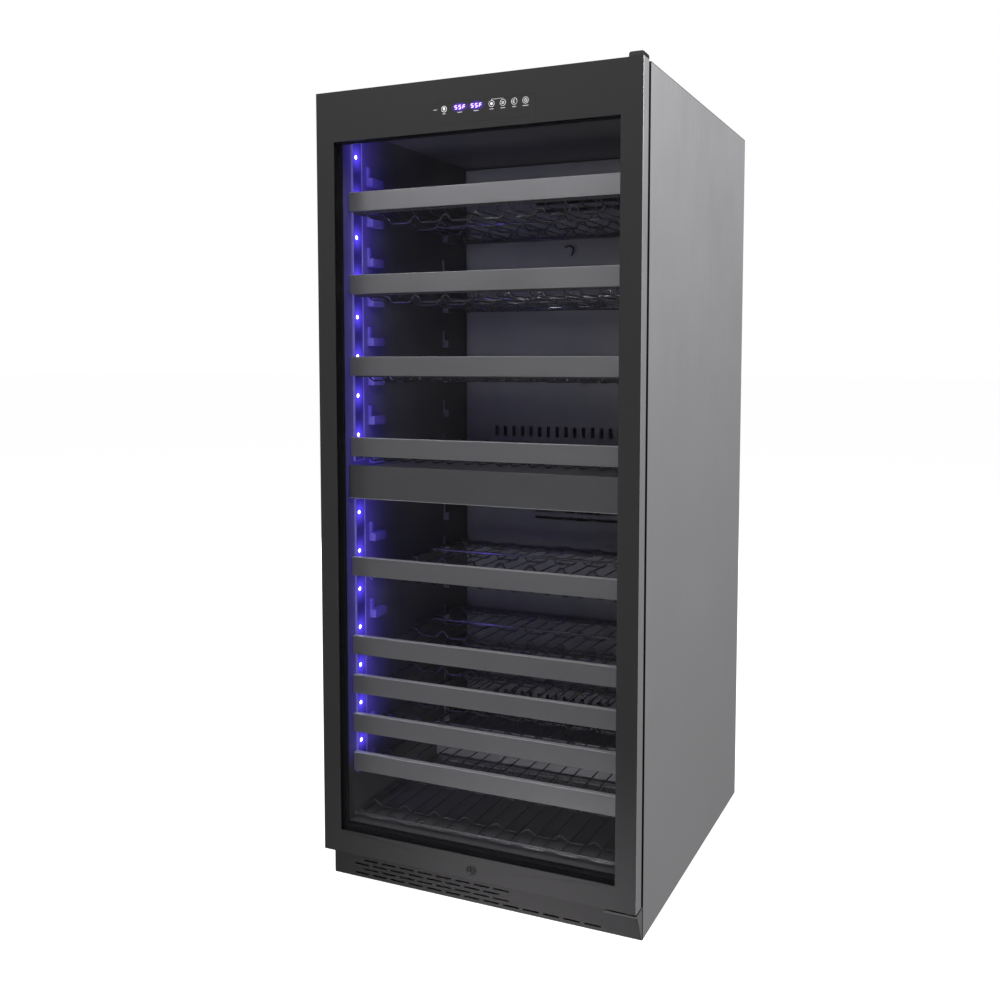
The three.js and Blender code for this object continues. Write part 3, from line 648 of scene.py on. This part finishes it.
def make_kick_plate():
    """The plinth: short staggered air slots with round ends, and the strike behind the lock."""
    low, high = span("kick_plate")
    slot_l, slot_h, pitch = 30, 3, 37.5
    first_x, first_z, row_pitch = -254, 16, 8.5
    front, back = high.y - 2.7, high.y
    holes = []
    for row in range(5):
        last_x = 260 if row == 0 else 66  # only the bottom row runs the whole width
        x = first_x + (row % 2) * pitch / 2
        while x + slot_l <= last_x:
            z = first_z + row * row_pitch + slot_h / 2
            holes.append(stadium(x + slot_l / 2, z, slot_l, slot_h))
            x += pitch
    bm = plate(rectangle(low.x, high.x, low.z, high.z - 2.5), holes, front, back)
    strike_x = (LOCK_X - 12, LOCK_X + 12)
    block(bm, *strike_x, low.y, low.y + 2, *STRIKE_Z, 0.3)
    block(bm, *strike_x, low.y + 1, front + 0.5, STRIKE_Z[0], STRIKE_Z[0] + 2, 0.3)
    piece = finish_piece("kick_plate_sheet", bm, "cabinet", "black_steel")
    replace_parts(piece, "kick_plate")


def make_feet():
    for where in ("front_left", "front_right", "rear_left", "rear_right"):
        node = f"foot_{where}"
        low, high = span(node)
        x, y = (low.x + high.x) / 2, (low.y + high.y) / 2
        bm = bmesh.new()
        profile = [
            (0, 0), (14.4, 0), (15.4, 0.5), (16, 1.6), (16, 4.6), (15.2, 5.4), (9.4, 7), (9, 7.4),
            (9, 9.7), (4, 9.7), (4, 23.4), (3.4, 24), (0, 24),
        ]
        lathe(bm, profile, (x, y, 0), "Z", 40)
        mend(bm)
        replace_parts(finish_piece(f"{node}_pad", bm, "cabinet", "plastic"), node)


# ---------------------------------------------------------------- light strips
def make_light_strips():
    """A channel with a violet lens, and a bright domed diode at each pitch."""
    for zone in ("upper", "lower"):
        node = f"led_strip_{zone}"
        low, high = span(node)
        face = -LINER_X + 3.8
        bm = bmesh.new()
        block(bm, low.x, face - 0.6, low.y, high.y, low.z, high.z, 0.4)
        for edge in (low.y, high.y - 2.2):
            block(bm, low.x + 1, face + 0.5, edge, edge + 2.2, low.z, high.z, 0.5)
        channel = finish_piece(f"{node}_channel", bm, "cabinet", "strip_edge")
        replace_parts(channel, node)
        front = face - 0.2
        bm = bmesh.new()
        block(bm, face - 1.0, front, low.y + 2.4, high.y - 2.4, low.z + 1, high.z - 1, 0.2)
        finish_piece(f"{node}_lens", bm, "cabinet", "lens")
        points = bmesh.new()
        z = LED_TOP_Z
        while z > low.z:
            if LED_LOW_Z < z < high.z:
                dome(points, (front, DIODE_Y, z), 3.4, 1.2)
            z -= LED_PITCH
        mend(points)
        finish_piece(f"{node}_diodes", points, "cabinet", "diode")


def dome(bm, centre, radius, height, rings=4, steps=20):
    """A low dome that bulges towards +X, with a flat back."""
    cx, cy, cz = centre
    loops = []
    for i in range(rings):
        tilt = math.radians(90 * i / rings)
        r, x = radius * math.cos(tilt), height * math.sin(tilt)
        turns = [math.tau * k / steps for k in range(steps)]
        loops.append([
            bm.verts.new((cx + x, cy + r * math.cos(a), cz + r * math.sin(a))) for a in turns
        ])
    top = bm.verts.new((cx + height, cy, cz))
    bm.faces.new(loops[0])
    for low, high in zip(loops, loops[1:]):
        for k in range(steps):
            n = (k + 1) % steps
            bm.faces.new((low[k], low[n], high[n], high[k]))
    for k in range(steps):
        bm.faces.new((loops[-1][k], loops[-1][(k + 1) % steps], top))


# ---------------------------------------------------------------- shelves
def cradle_wave(z_high, depth, y):
    """A cross wire bent down into flat-bottomed bottle cradles."""
    flat = 38.0
    first = -ROD_X + RACK_END
    pitch = -2 * first / CRADLES
    ramp = (pitch - flat) / 2
    points = [(-ROD_X, y, z_high)]
    for i in range(CRADLES):
        x = first + i * pitch
        points += [
            (x + ramp * 0.3, y, z_high), (x + ramp, y, z_high - depth),
            (x + ramp + flat, y, z_high - depth), (x + pitch - ramp * 0.3, y, z_high),
        ]
    points.append((ROD_X, y, z_high))
    return rounded(points, 5.0, 3)


def wire_rack(name, node, body, z, front_y, back_y, depth, bars, waves, back_drop):
    """A wire shelf: a bent side-and-rear rod, cross bars, cradle wires and fine wires along Y.

    A bar marked True gets the lighter wire look as a painted highlight, and so do the flats of a
    cradle wire marked True.
    """
    bm = bmesh.new()
    rear_y = back_y - 4
    frame_path = [
        (-ROD_X, front_y, z), (-ROD_X, rear_y, z), (-ROD_X, rear_y, z - back_drop),
        (ROD_X, rear_y, z - back_drop), (ROD_X, rear_y, z), (ROD_X, front_y, z),
    ]
    if back_drop < 1:
        frame_path = [frame_path[0], frame_path[1], frame_path[4], frame_path[5]]
    sweep(bm, rounded(frame_path, 7.0, 5), ROD_R, 12)
    for y, dz, polished in bars:
        made = len(bm.faces)
        sweep(bm, [(-ROD_X, y, z + dz), (ROD_X, y, z + dz)], BAR_R, 10)
        bm.faces.ensure_lookup_table()
        for face in bm.faces[made:]:
            face.material_index = int(polished)
    wave_z = z + 1.5
    flat_z = wave_z - depth
    for y, polished in waves:
        made = len(bm.faces)
        sweep(bm, cradle_wave(wave_z, depth, y), WAVE_R, 8)
        bm.faces.ensure_lookup_table()
        for face in bm.faces[made:]:
            on_flat = flat_z + 0.3 < face.calc_center_median().z < flat_z + 2
            face.material_index = int(polished and on_flat)
    pitch = 2 * (ROD_X - RACK_END) / CRADLES
    low = z - depth + 1.4
    for i in range(CRADLES):
        centre = -ROD_X + RACK_END + (i + 0.5) * pitch
        for x in (centre - 14, centre + 14):
            path = [
                (x, front_y + 3, z - 1), (x, front_y + 14, low + 1.5),
                (x, (front_y + back_y) / 2, low + 1.5), (x, back_y - 14, low + 1.0),
                (x, rear_y, z - back_drop + 1),
            ]
            sweep(bm, rounded(path, 6.0, 3), FINE_R, 6)
    mend(bm)
    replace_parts(finish_piece(name, bm, body, ["wire", "polished"]), node)


def make_shelves():
    for n in range(1, SHELF_COUNT + 1):
        # Each shelf front's upward faces get the lighter trim look, a painted highlight along its
        # top edge.
        refine(
            f"shelf_{n}_front", ["trim_steel", "trim_painted_highlight"], 0.9, 3, suffix="sheet",
            pick=lambda spot, normal: normal.z > 0.3,
        )
        z = span(f"shelf_{n}_front")[1].z - ROD_DROP
        front_y = span(f"shelf_{n}_rack")[0].y
        wire_rack(
            f"shelf_{n}_wires", f"shelf_{n}_rack", f"shelf_{n}", z, front_y, RACK_BACK_Y, 12,
            # True marks a painted highlight: the middle bar and the flats of the rearmost cradle
            # wire.
            bars=[(front_y + 4, 0.0, False), (-13, 3.0, True)],
            waves=[(-200, False), (-96, False), (8, False), (112, True)], back_drop=12,
        )
    low, high = span("bottom_rack")
    wire_rack(
        "bottom_rack_wires", "bottom_rack", "cabinet", RACK_FLOOR_Z, low.y, high.y, 8,
        bars=[(low.y + 4, 0.0, False)],
        # True marks a painted highlight on the flats of the front cradle wire.
        waves=[(-300, True), (-250, False), (-120, False)], back_drop=0,
    )


# ---------------------------------------------------------------- door
def make_door():
    edge_x = span("door_frame")[1].x - 0.7
    refine(
        "door_frame", ["black_steel", "door_side"], 0.5, 3, suffix="skin",
        pick=lambda spot, normal: abs(spot.x) > edge_x and abs(normal.x) > 0.7,
    )
    refine("door_inner_frame", "plastic", 0.5, suffix="core")
    make_panel()
    refine("glass_spacer", "spacer", 0.3, suffix="bar")
    refine("glass_outer", "glass", 0.5, suffix="pane")
    refine("glass_inner", "glass", 0.5, suffix="pane")
    make_gasket()
    make_lock()
    make_symbols()


def make_panel():
    """The touch panel, set flush and tight in the top rail so that no seam shows."""
    low, high = span("control_panel")
    fit = GAP - 0.05
    bm = bmesh.new()
    block(bm, low.x - fit, high.x + fit, low.y, high.y, low.z - fit, high.z + fit, 0.05, 1)
    piece = finish_piece("control_panel_glass", bm, "door", "touch")
    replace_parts(piece, "control_panel")


def make_gasket():
    """The magnetic seal: a flat foot on the door, a folded waist and a rounded bead."""
    low, high = span("door_gasket")
    width = 12.0
    depth = high.y - low.y
    inner_half = [
        (0.4, 0.0), (0.0, 0.9), (0.6, 2.0), (3.0, 2.8), (1.2, 4.2), (0.3, 5.6),
        (0.2, depth - 1.6), (1.4, depth - 0.4), (3.0, depth),
    ]
    profile = [inner_half[0], *((width - x, y) for x, y in inner_half), *inner_half[:0:-1]]
    bm = bmesh.new()
    ring_sweep(bm, profile, high.x - width, low.z + width, high.z - width, low.y)
    mend(bm)
    seal = finish_piece("door_gasket_seal", bm, "door", "rubber")
    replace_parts(seal, "door_gasket")


def make_lock():
    """The lock: a turned collar and a barrel with a key slot and its cam."""
    low, high = span("lock_housing")
    bm = bmesh.new()
    nose, depth = DOOR_Y - GAP - low.y, high.y - low.y
    bore, stem, rim = 6.4, 8, 9.5
    profile = [
        (bore, 0.5), (6.8, 0), (8.7, 0), (rim, 0.6), (rim, nose), (stem, nose), (stem, depth),
        (bore, depth), (bore, 0.5),
    ]
    lathe(bm, [(r, -h) for r, h in profile], (LOCK_X, low.y, LOCK_Z), "Y", 56)
    bmesh.ops.remove_doubles(bm, verts=bm.verts, dist=0.001)
    mend(bm)
    collar = finish_piece("lock_housing_collar", bm, "door", "lock_steel")
    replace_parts(collar, "lock_housing")
    refine("lock_barrel", "lock_steel", 0.25, suffix="key_barrel")


SEGMENTS = {  # the bars each character lights, numbered as in character()
    "5": (0, 1, 3, 5, 6),
    "F": (0, 1, 3, 4),
}


def character(bm, code, x, z, w, h, y):
    """A seven-segment character of thin bars, leaning slightly to the right."""
    t = 0.85
    left, middle, right = (x, x + t), (x + t, x + w - t), (x + w - t, x + w)
    upper, lower = (z + h / 2 + 0.3, z + h - t * 0.6), (z + t * 0.6, z + h / 2 - 0.3)
    bars = [
        (*middle, z + h - t, z + h),  # 0, top
        (*left, *upper), (*right, *upper),  # 1 and 2
        (*middle, z + h / 2 - t / 2, z + h / 2 + t / 2),  # 3, middle
        (*left, *lower), (*right, *lower),  # 4 and 5
        (*middle, z, z + t),  # 6, bottom
    ]
    for i in SEGMENTS[code]:
        x0, x1, z0, z1 = bars[i]
        start = len(bm.verts)
        block(bm, x0, x1, y - 0.12, y + 0.15, z0, z1)
        bm.verts.ensure_lookup_table()
        for v in bm.verts[start:]:
            v.co.x += (v.co.z - z) * 0.12


def ring_mark(bm, x, z, outer, inner, y, start=0, sweep_deg=360, steps=36):
    """A thin flat ring or arc."""
    closed = sweep_deg >= 360
    count = steps if closed else steps + 1
    loops = []
    for i in range(count):
        a = math.radians(start + sweep_deg * i / steps)
        loops.append([
            bm.verts.new((x + r * math.cos(a), y + dy, z + r * math.sin(a)))
            for r, dy in ((inner, -0.1), (outer, -0.1), (outer, 0.12), (inner, 0.12))
        ])
    for i in range(count if closed else count - 1):
        a, b = loops[i], loops[(i + 1) % count]
        for k in range(4):
            bm.faces.new((a[k], b[k], b[(k + 1) % 4], a[(k + 1) % 4]))
    if not closed:
        bm.faces.new(loops[0])
        bm.faces.new(loops[-1])


def make_symbols():
    """The touch panel's lit characters and its small marks, all generic."""
    y = DOOR_Y
    digits = bmesh.new()
    pitch, width, height = 7.4, 4.9, 6.6
    for centre in DISPLAY_X:
        for i, code in enumerate("55F"):
            x = centre + (i - 1) * pitch - width / 2
            character(digits, code, x, MARK_Z - height / 2, width, height, y)
    mend(digits)
    finish_piece("panel_digits", digits, "door", "digit")

    def bar(bm, x, half, z0, z1, front=0.1, back=0.12):
        block(bm, x - half, x + half, y - front, y + back, z0, z1)

    marks = bmesh.new()
    lamp_z = MARK_Z - 0.8
    ring_mark(marks, LAMP_MARK_X, lamp_z, 5.0, 4.4, y)
    ring_mark(marks, LAMP_MARK_X, lamp_z + 0.8, 2.2, 0.6, y, steps=20)
    bar(marks, LAMP_MARK_X, 1.1, lamp_z - 2.8, lamp_z - 1.9)
    for i, x in enumerate(BUTTON_X):
        z = MARK_Z
        ring_mark(marks, x, z, 5.2, 4.6, y)
        if i == 0:
            ring_mark(marks, x, z, 2.2, 0.5, y, steps=20)
        elif i == 1:
            bar(marks, x, 2.4, z - 1.6, z - 0.7)
            bar(marks, x, 2.4, z + 0.5, z + 1.4)
        elif i == 2:
            ring_mark(marks, x, z, 2.4, 1.5, y, 60, 240, 20)
        else:
            ring_mark(marks, x, z, 2.6, 1.8, y, 120, 300, 24)
            bar(marks, x, 0.4, z + 0.6, z + 3.2)
    mend(marks)
    finish_piece("panel_symbols", marks, "door", "icon")

    captions = bmesh.new()
    thin = {"front": 0.08, "back": 0.1}
    caption_z = MARK_Z - 9.0
    for x, length in zip([LAMP_MARK_X, *DISPLAY_X, *BUTTON_X], (6, 8, 9, 7, 8, 7, 10)):
        bar(captions, x, length / 2, caption_z, caption_z + 1.1, **thin)
    bar(captions, LAMP_MARK_X - 16.5, 3.5, lamp_z - 0.5, lamp_z + 0.3, **thin)
    bracket_z = 1385.2
    first, second = BUTTON_X[:2]
    half = (second - first) / 2
    bar(captions, first + half, half, bracket_z - 2.0, bracket_z - 1.4, **thin)
    for x in (first, second):
        bar(captions, x, 0.3, bracket_z - 3.2, bracket_z - 2.0, **thin)
    mend(captions)
    finish_piece("panel_captions", captions, "door", "icon_dim")


# ---------------------------------------------------------------- cooling system
def make_fan(node):
    """A moulded rotor on its own body: a hub and seven curved, twisted blades."""
    low, high = span(node)
    x, z = (low.x + high.x) / 2, (low.z + high.z) / 2
    radius = (high.z - low.z) / 2
    hub = radius * 0.33
    depth = high.y - low.y
    bm = bmesh.new()
    profile = [
        (0, 0), (hub * 0.8, 0), (hub * 0.96, 0.8), (hub, 2.0), (hub, depth - 0.6),
        (hub - 0.6, depth), (0, depth),
    ]
    lathe(bm, [(r, -h) for r, h in profile], (x, low.y, z), "Y", 40)
    blades = 7
    steps = 8
    root, tip = hub * 0.9, radius * 0.97
    for b in range(blades):
        base = math.tau * b / blades
        grid = []
        for i in range(steps + 1):
            r = root + (tip - root) * i / steps
            row = []
            for j in range(steps + 1):
                across = j / steps - 0.5
                a = base + across * (0.62 - 0.12 * i / steps) + 0.22 * (i / steps) ** 1.5
                pitch = depth * (0.72 - 0.22 * i / steps)
                dy = depth / 2 + across * pitch + 1.2 * math.cos(across * math.pi)
                for t in (-0.6, 0.6):
                    spot = (x + r * math.cos(a), low.y + dy + t, z + r * math.sin(a))
                    row.append(bm.verts.new(spot))
            grid.append(row)
        width = len(grid[0])
        for i in range(steps):
            for j in range(0, width - 2, 2):
                for k in (j, j + 1):
                    quad = [grid[i][k], grid[i + 1][k], grid[i + 1][k + 2], grid[i][k + 2]]
                    bm.faces.new(quad if k == j else quad[::-1])
            for j in (0, width - 2):
                bm.faces.new((grid[i][j], grid[i][j + 1], grid[i + 1][j + 1], grid[i + 1][j]))
        for i in (0, steps):
            for j in range(0, width - 2, 2):
                bm.faces.new((grid[i][j], grid[i][j + 1], grid[i][j + 3], grid[i][j + 2]))
    mend(bm)
    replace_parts(finish_piece(f"{node}_rotor", bm, node, "fan"), node)


def make_coil(node, fin_look, tube_look, fins, rows):
    """A tube-and-fin block: thin fins on rows of tubes joined by return bends."""
    low, high = span(node)
    x0, x1 = low.x + 8, high.x - 8
    yc = (low.y + high.y) / 2
    bm = bmesh.new()
    for i in range(fins):
        x = x0 + (x1 - x0 - 0.5) * i / (fins - 1)
        thick = 1.5 if i in (0, fins - 1) else 0.35
        block(bm, x, x + thick, low.y, high.y, low.z, high.z)
    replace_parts(finish_piece(f"{node}_fins", bm, "cabinet", fin_look), node)
    tubes = bmesh.new()
    pitch = (high.z - low.z) / rows
    points = []
    for i in range(rows):
        z = low.z + pitch * (i + 0.5)
        ends = (low.x + 4, high.x - 4) if i % 2 == 0 else (high.x - 4, low.x + 4)
        points += [(ends[0], yc, z), (ends[1], yc, z)]
    sweep(tubes, rounded(points, pitch * 0.45, 6), 3.6, 12)
    mend(tubes)
    finish_piece(f"{node}_tubes", tubes, "cabinet", tube_look)


def make_compressor():
    """The hermetic can with its weld seam, foot plate, grommets, pipe stubs and terminal cover."""
    cx, cy = COMPRESSOR
    bm = bmesh.new()
    bottom = [(0, 24), (58, 24), (64, 27), (70, 36), (73, 48), (74, 58), (74, 63.4)]
    seam = [(76, 64), (76, 70), (74, 70.6)]
    top = [(74, 96), (72.5, 108), (66, 122), (58, 131), (46, 137), (30, 140), (0, 141)]
    lathe(bm, bottom + seam + top, (cx, cy, 0), "Z", 64)
    block(bm, cx - 98, cx + 98, cy - 68, cy + 68, 22, 25, 1.2)
    block(bm, cx + 60, cx + 96, cy - 24, cy + 24, 62, 116, 3.0, 3)
    for dy, z, r in ((0, 95, 4), (20, 110, 3)):
        sweep(bm, [(cx - 60, cy + dy, z), (cx - 90, cy + dy, z), (cx - 96, cy + dy, z)], r, 14)
    grommet = [
        (0, 11.5), (10.4, 11.5), (11, 12.2), (11, 16), (9, 17), (9, 20), (11, 21), (11, 25.4),
        (10.2, 26), (0, 26),
    ]
    for sx in (-1, 1):
        for sy in (-1, 1):
            lathe(bm, grommet, (cx + sx * 84, cy + sy * 56, 0), "Z", 28)
    mend(bm)
    can = finish_piece("compressor_can", bm, "cabinet", "paint")
    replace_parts(can, "compressor")


def make_pipes():
    """Refrigerant lines between the compressor, the condenser and the back wall."""
    runs = {
        "discharge_pipe": (3.0, [
            (54, 212, 95), (30, 212, 95), (20, 212, 60), (20, 150, 40), (20, 89, 40), (-17, 89, 45),
        ]),
        "suction_pipe": (4.0, [
            (54, 232, 110), (36, 232, 110), (36, 300, 120), (36, 340, 140), (36, 340, 152),
        ]),
        "liquid_pipe": (2.0, [
            (-213, 89, 112), (-224, 89, 112), (-226, 150, 100), (-226, 260, 146),
            (-200, 330, 148), (36, 332, 148),
        ]),
    }
    for name, (radius, points) in runs.items():
        bm = bmesh.new()
        sweep(bm, rounded(points, 14.0, 6), radius, 14)
        mend(bm)
        finish_piece(name, bm, "cabinet", "copper")


def make_rear():
    """The slotted rear cover, the power box and the pins of its inlet."""
    low, high = span("compressor_cover")
    holes = []
    for row in range(6):
        for column in range(8):
            holes.append(stadium(-150 + column * 52, 36.5 + row * 20, 40, 5))
    inlet_x, inlet_z = INLET
    holes.append(rectangle(inlet_x - 18, inlet_x + 18, inlet_z - 14, inlet_z + 14))
    bm = plate(rectangle(low.x, high.x, low.z, high.z), holes, low.y, high.y)
    grille = finish_piece("compressor_cover_grille", bm, "cabinet", "zinc")
    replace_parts(grille, "compressor_cover")
    refine("power_box", "plastic", 0.8, suffix="case")
    pins = bmesh.new()
    for x, z in ((inlet_x - 7, inlet_z - 2), (inlet_x + 7, inlet_z - 2), (inlet_x, inlet_z + 3)):
        block(pins, x - 1, x + 1, high.y - 19.5, high.y - 5, z - 2.2, z + 2.2, 0.4)
    finish_piece("inlet_pins", pins, "cabinet", "copper")


def make_cooling():
    for node in ("fan_upper", "fan_lower", "condenser_fan"):
        make_fan(node)
    make_coil("evaporator_upper", "fin", "fin", 60, 8)
    make_coil("evaporator_lower", "fin", "fin", 60, 7)
    make_coil("condenser", "fin", "copper", 45, 5)
    make_compressor()
    make_pipes()
    make_rear()
    refine("condenser_fan_frame", "fan", 0.6, suffix="shroud")
    refine("drip_tray", "plastic", 0.6, suffix="pan")


# ---------------------------------------------------------------- room, lights and camera
def make_floor():
    """A plain pale floor just below the feet, which doesn't light or mirror in the object."""
    bm = bmesh.new()
    bmesh.ops.create_grid(bm, x_segments=1, y_segments=1, size=60.0)
    mesh = bpy.data.meshes.new("floor")
    bm.to_mesh(mesh)
    bm.free()
    floor = bpy.data.objects.new("floor", mesh)
    floor.location.z = -0.0005
    bpy.context.scene.collection.objects.link(floor)
    look = Look("floor", (0.55, 0.55, 0.555), 0.9, Emission_Color=WHITE, Emission_Strength=0.86)
    look.drive("Roughness", look.remap(look.noise(3.0), 0.86, 0.94))
    mesh.materials.append(look.material)
    floor.visible_diffuse = False
    floor.visible_glossy = False


def area_light(name, place, target, size, power, colour=(1, 1, 1)):
    """A soft rectangular lamp in metres and watts that the camera doesn't see."""
    data = bpy.data.lights.new(name, "AREA")
    data.shape = "RECTANGLE"
    data.size, data.size_y = size
    data.energy = power
    data.color = colour
    light = bpy.data.objects.new(name, data)
    light.location = place
    light.rotation_euler = (Vector(target) - Vector(place)).to_track_quat("-Z", "Y").to_euler()
    light.visible_camera = False
    bpy.context.scene.collection.objects.link(light)
    return light


def make_lights():
    """A white background for the camera, an even grey room for the object, and soft lamps."""
    world = bpy.data.worlds.new("studio")
    bpy.context.scene.world = world
    world.use_nodes = True
    nodes, links = world.node_tree.nodes, world.node_tree.links
    seen, room = nodes["Background"], nodes.new("ShaderNodeBackground")
    for background, strength in ((seen, 1.0), (room, 0.22)):
        background.inputs["Color"].default_value = WHITE
        background.inputs["Strength"].default_value = strength
    path = nodes.new("ShaderNodeLightPath")
    both = nodes.new("ShaderNodeMixShader")
    links.new(path.outputs["Is Camera Ray"], both.inputs[0])
    links.new(room.outputs[0], both.inputs[1])
    links.new(seen.outputs[0], both.inputs[2])
    links.new(both.outputs[0], nodes["World Output"].inputs["Surface"])
    area_light("side_key", (2.3, 0.6, 2.5), (0.3, 0.0, 1.3), (1.4, 1.4), 46)
    area_light("front_high", (0.9, -1.5, 2.5), (0.0, -0.3, 1.25), (1.2, 0.8), 38)
    area_light("front_top", (-0.6, -1.5, 2.05), (0.0, -0.3, 1.2), (0.9, 0.5), 14)
    area_light("front_left", (-3.4, -2.2, 2.6), (0.0, -0.3, 0.8), (1.6, 1.6), 22)
    low = area_light("front_low", (-0.04, -2.4, 0.4), (0.0, -0.3, 0.35), (0.64, 0.5), 44)
    plinth = area_light("plinth_low", (0.10, -1.2, 0.10), (0.12, -0.35, -0.04), (0.36, 0.2), 2.2)
    plinth.data.spread = math.radians(50)
    # these two would show as bright panes in the door's glass
    low.visible_glossy = plinth.visible_glossy = False
    area_light("rear_fill", (-2.2, 3.2, 0.9), (0, 0, 0.7), (2.0, 0.9), 70)
    for z0, z1 in ((0.79, 1.36), (0.24, 0.70)):
        middle = (z0 + z1) / 2
        area_light(
            "strip_glow", (-0.240, -0.262, middle), (-0.264, -0.20, middle), (0.02, z1 - z0), 0.22,
            LAMP_VIOLET,
        )


def make_camera():
    """The photograph's view: from the right, a little above the middle, looking slightly down."""
    data = bpy.data.cameras.new("camera")
    data.sensor_width = 36.0
    data.lens = 39.589
    data.shift_y = -0.0593
    camera = bpy.data.objects.new("camera", data)
    yaw, pitch = math.radians(24.59), math.radians(4.2)
    camera.location = (0.81018, -2.00476, 0.96217)
    flat = math.cos(pitch)
    ahead = Vector((-math.sin(yaw) * flat, math.cos(yaw) * flat, -math.sin(pitch)))
    camera.rotation_euler = ahead.to_track_quat("-Z", "Y").to_euler()
    bpy.context.scene.collection.objects.link(camera)
    bpy.context.scene.camera = camera


make_camera()
make_cabinet()
make_light_strips()
make_shelves()
make_door()
make_cooling()
make_floor()
make_lights()

bpy.context.scene.view_settings.view_transform = "Standard"
bpy.context.scene.view_settings.look = "None"
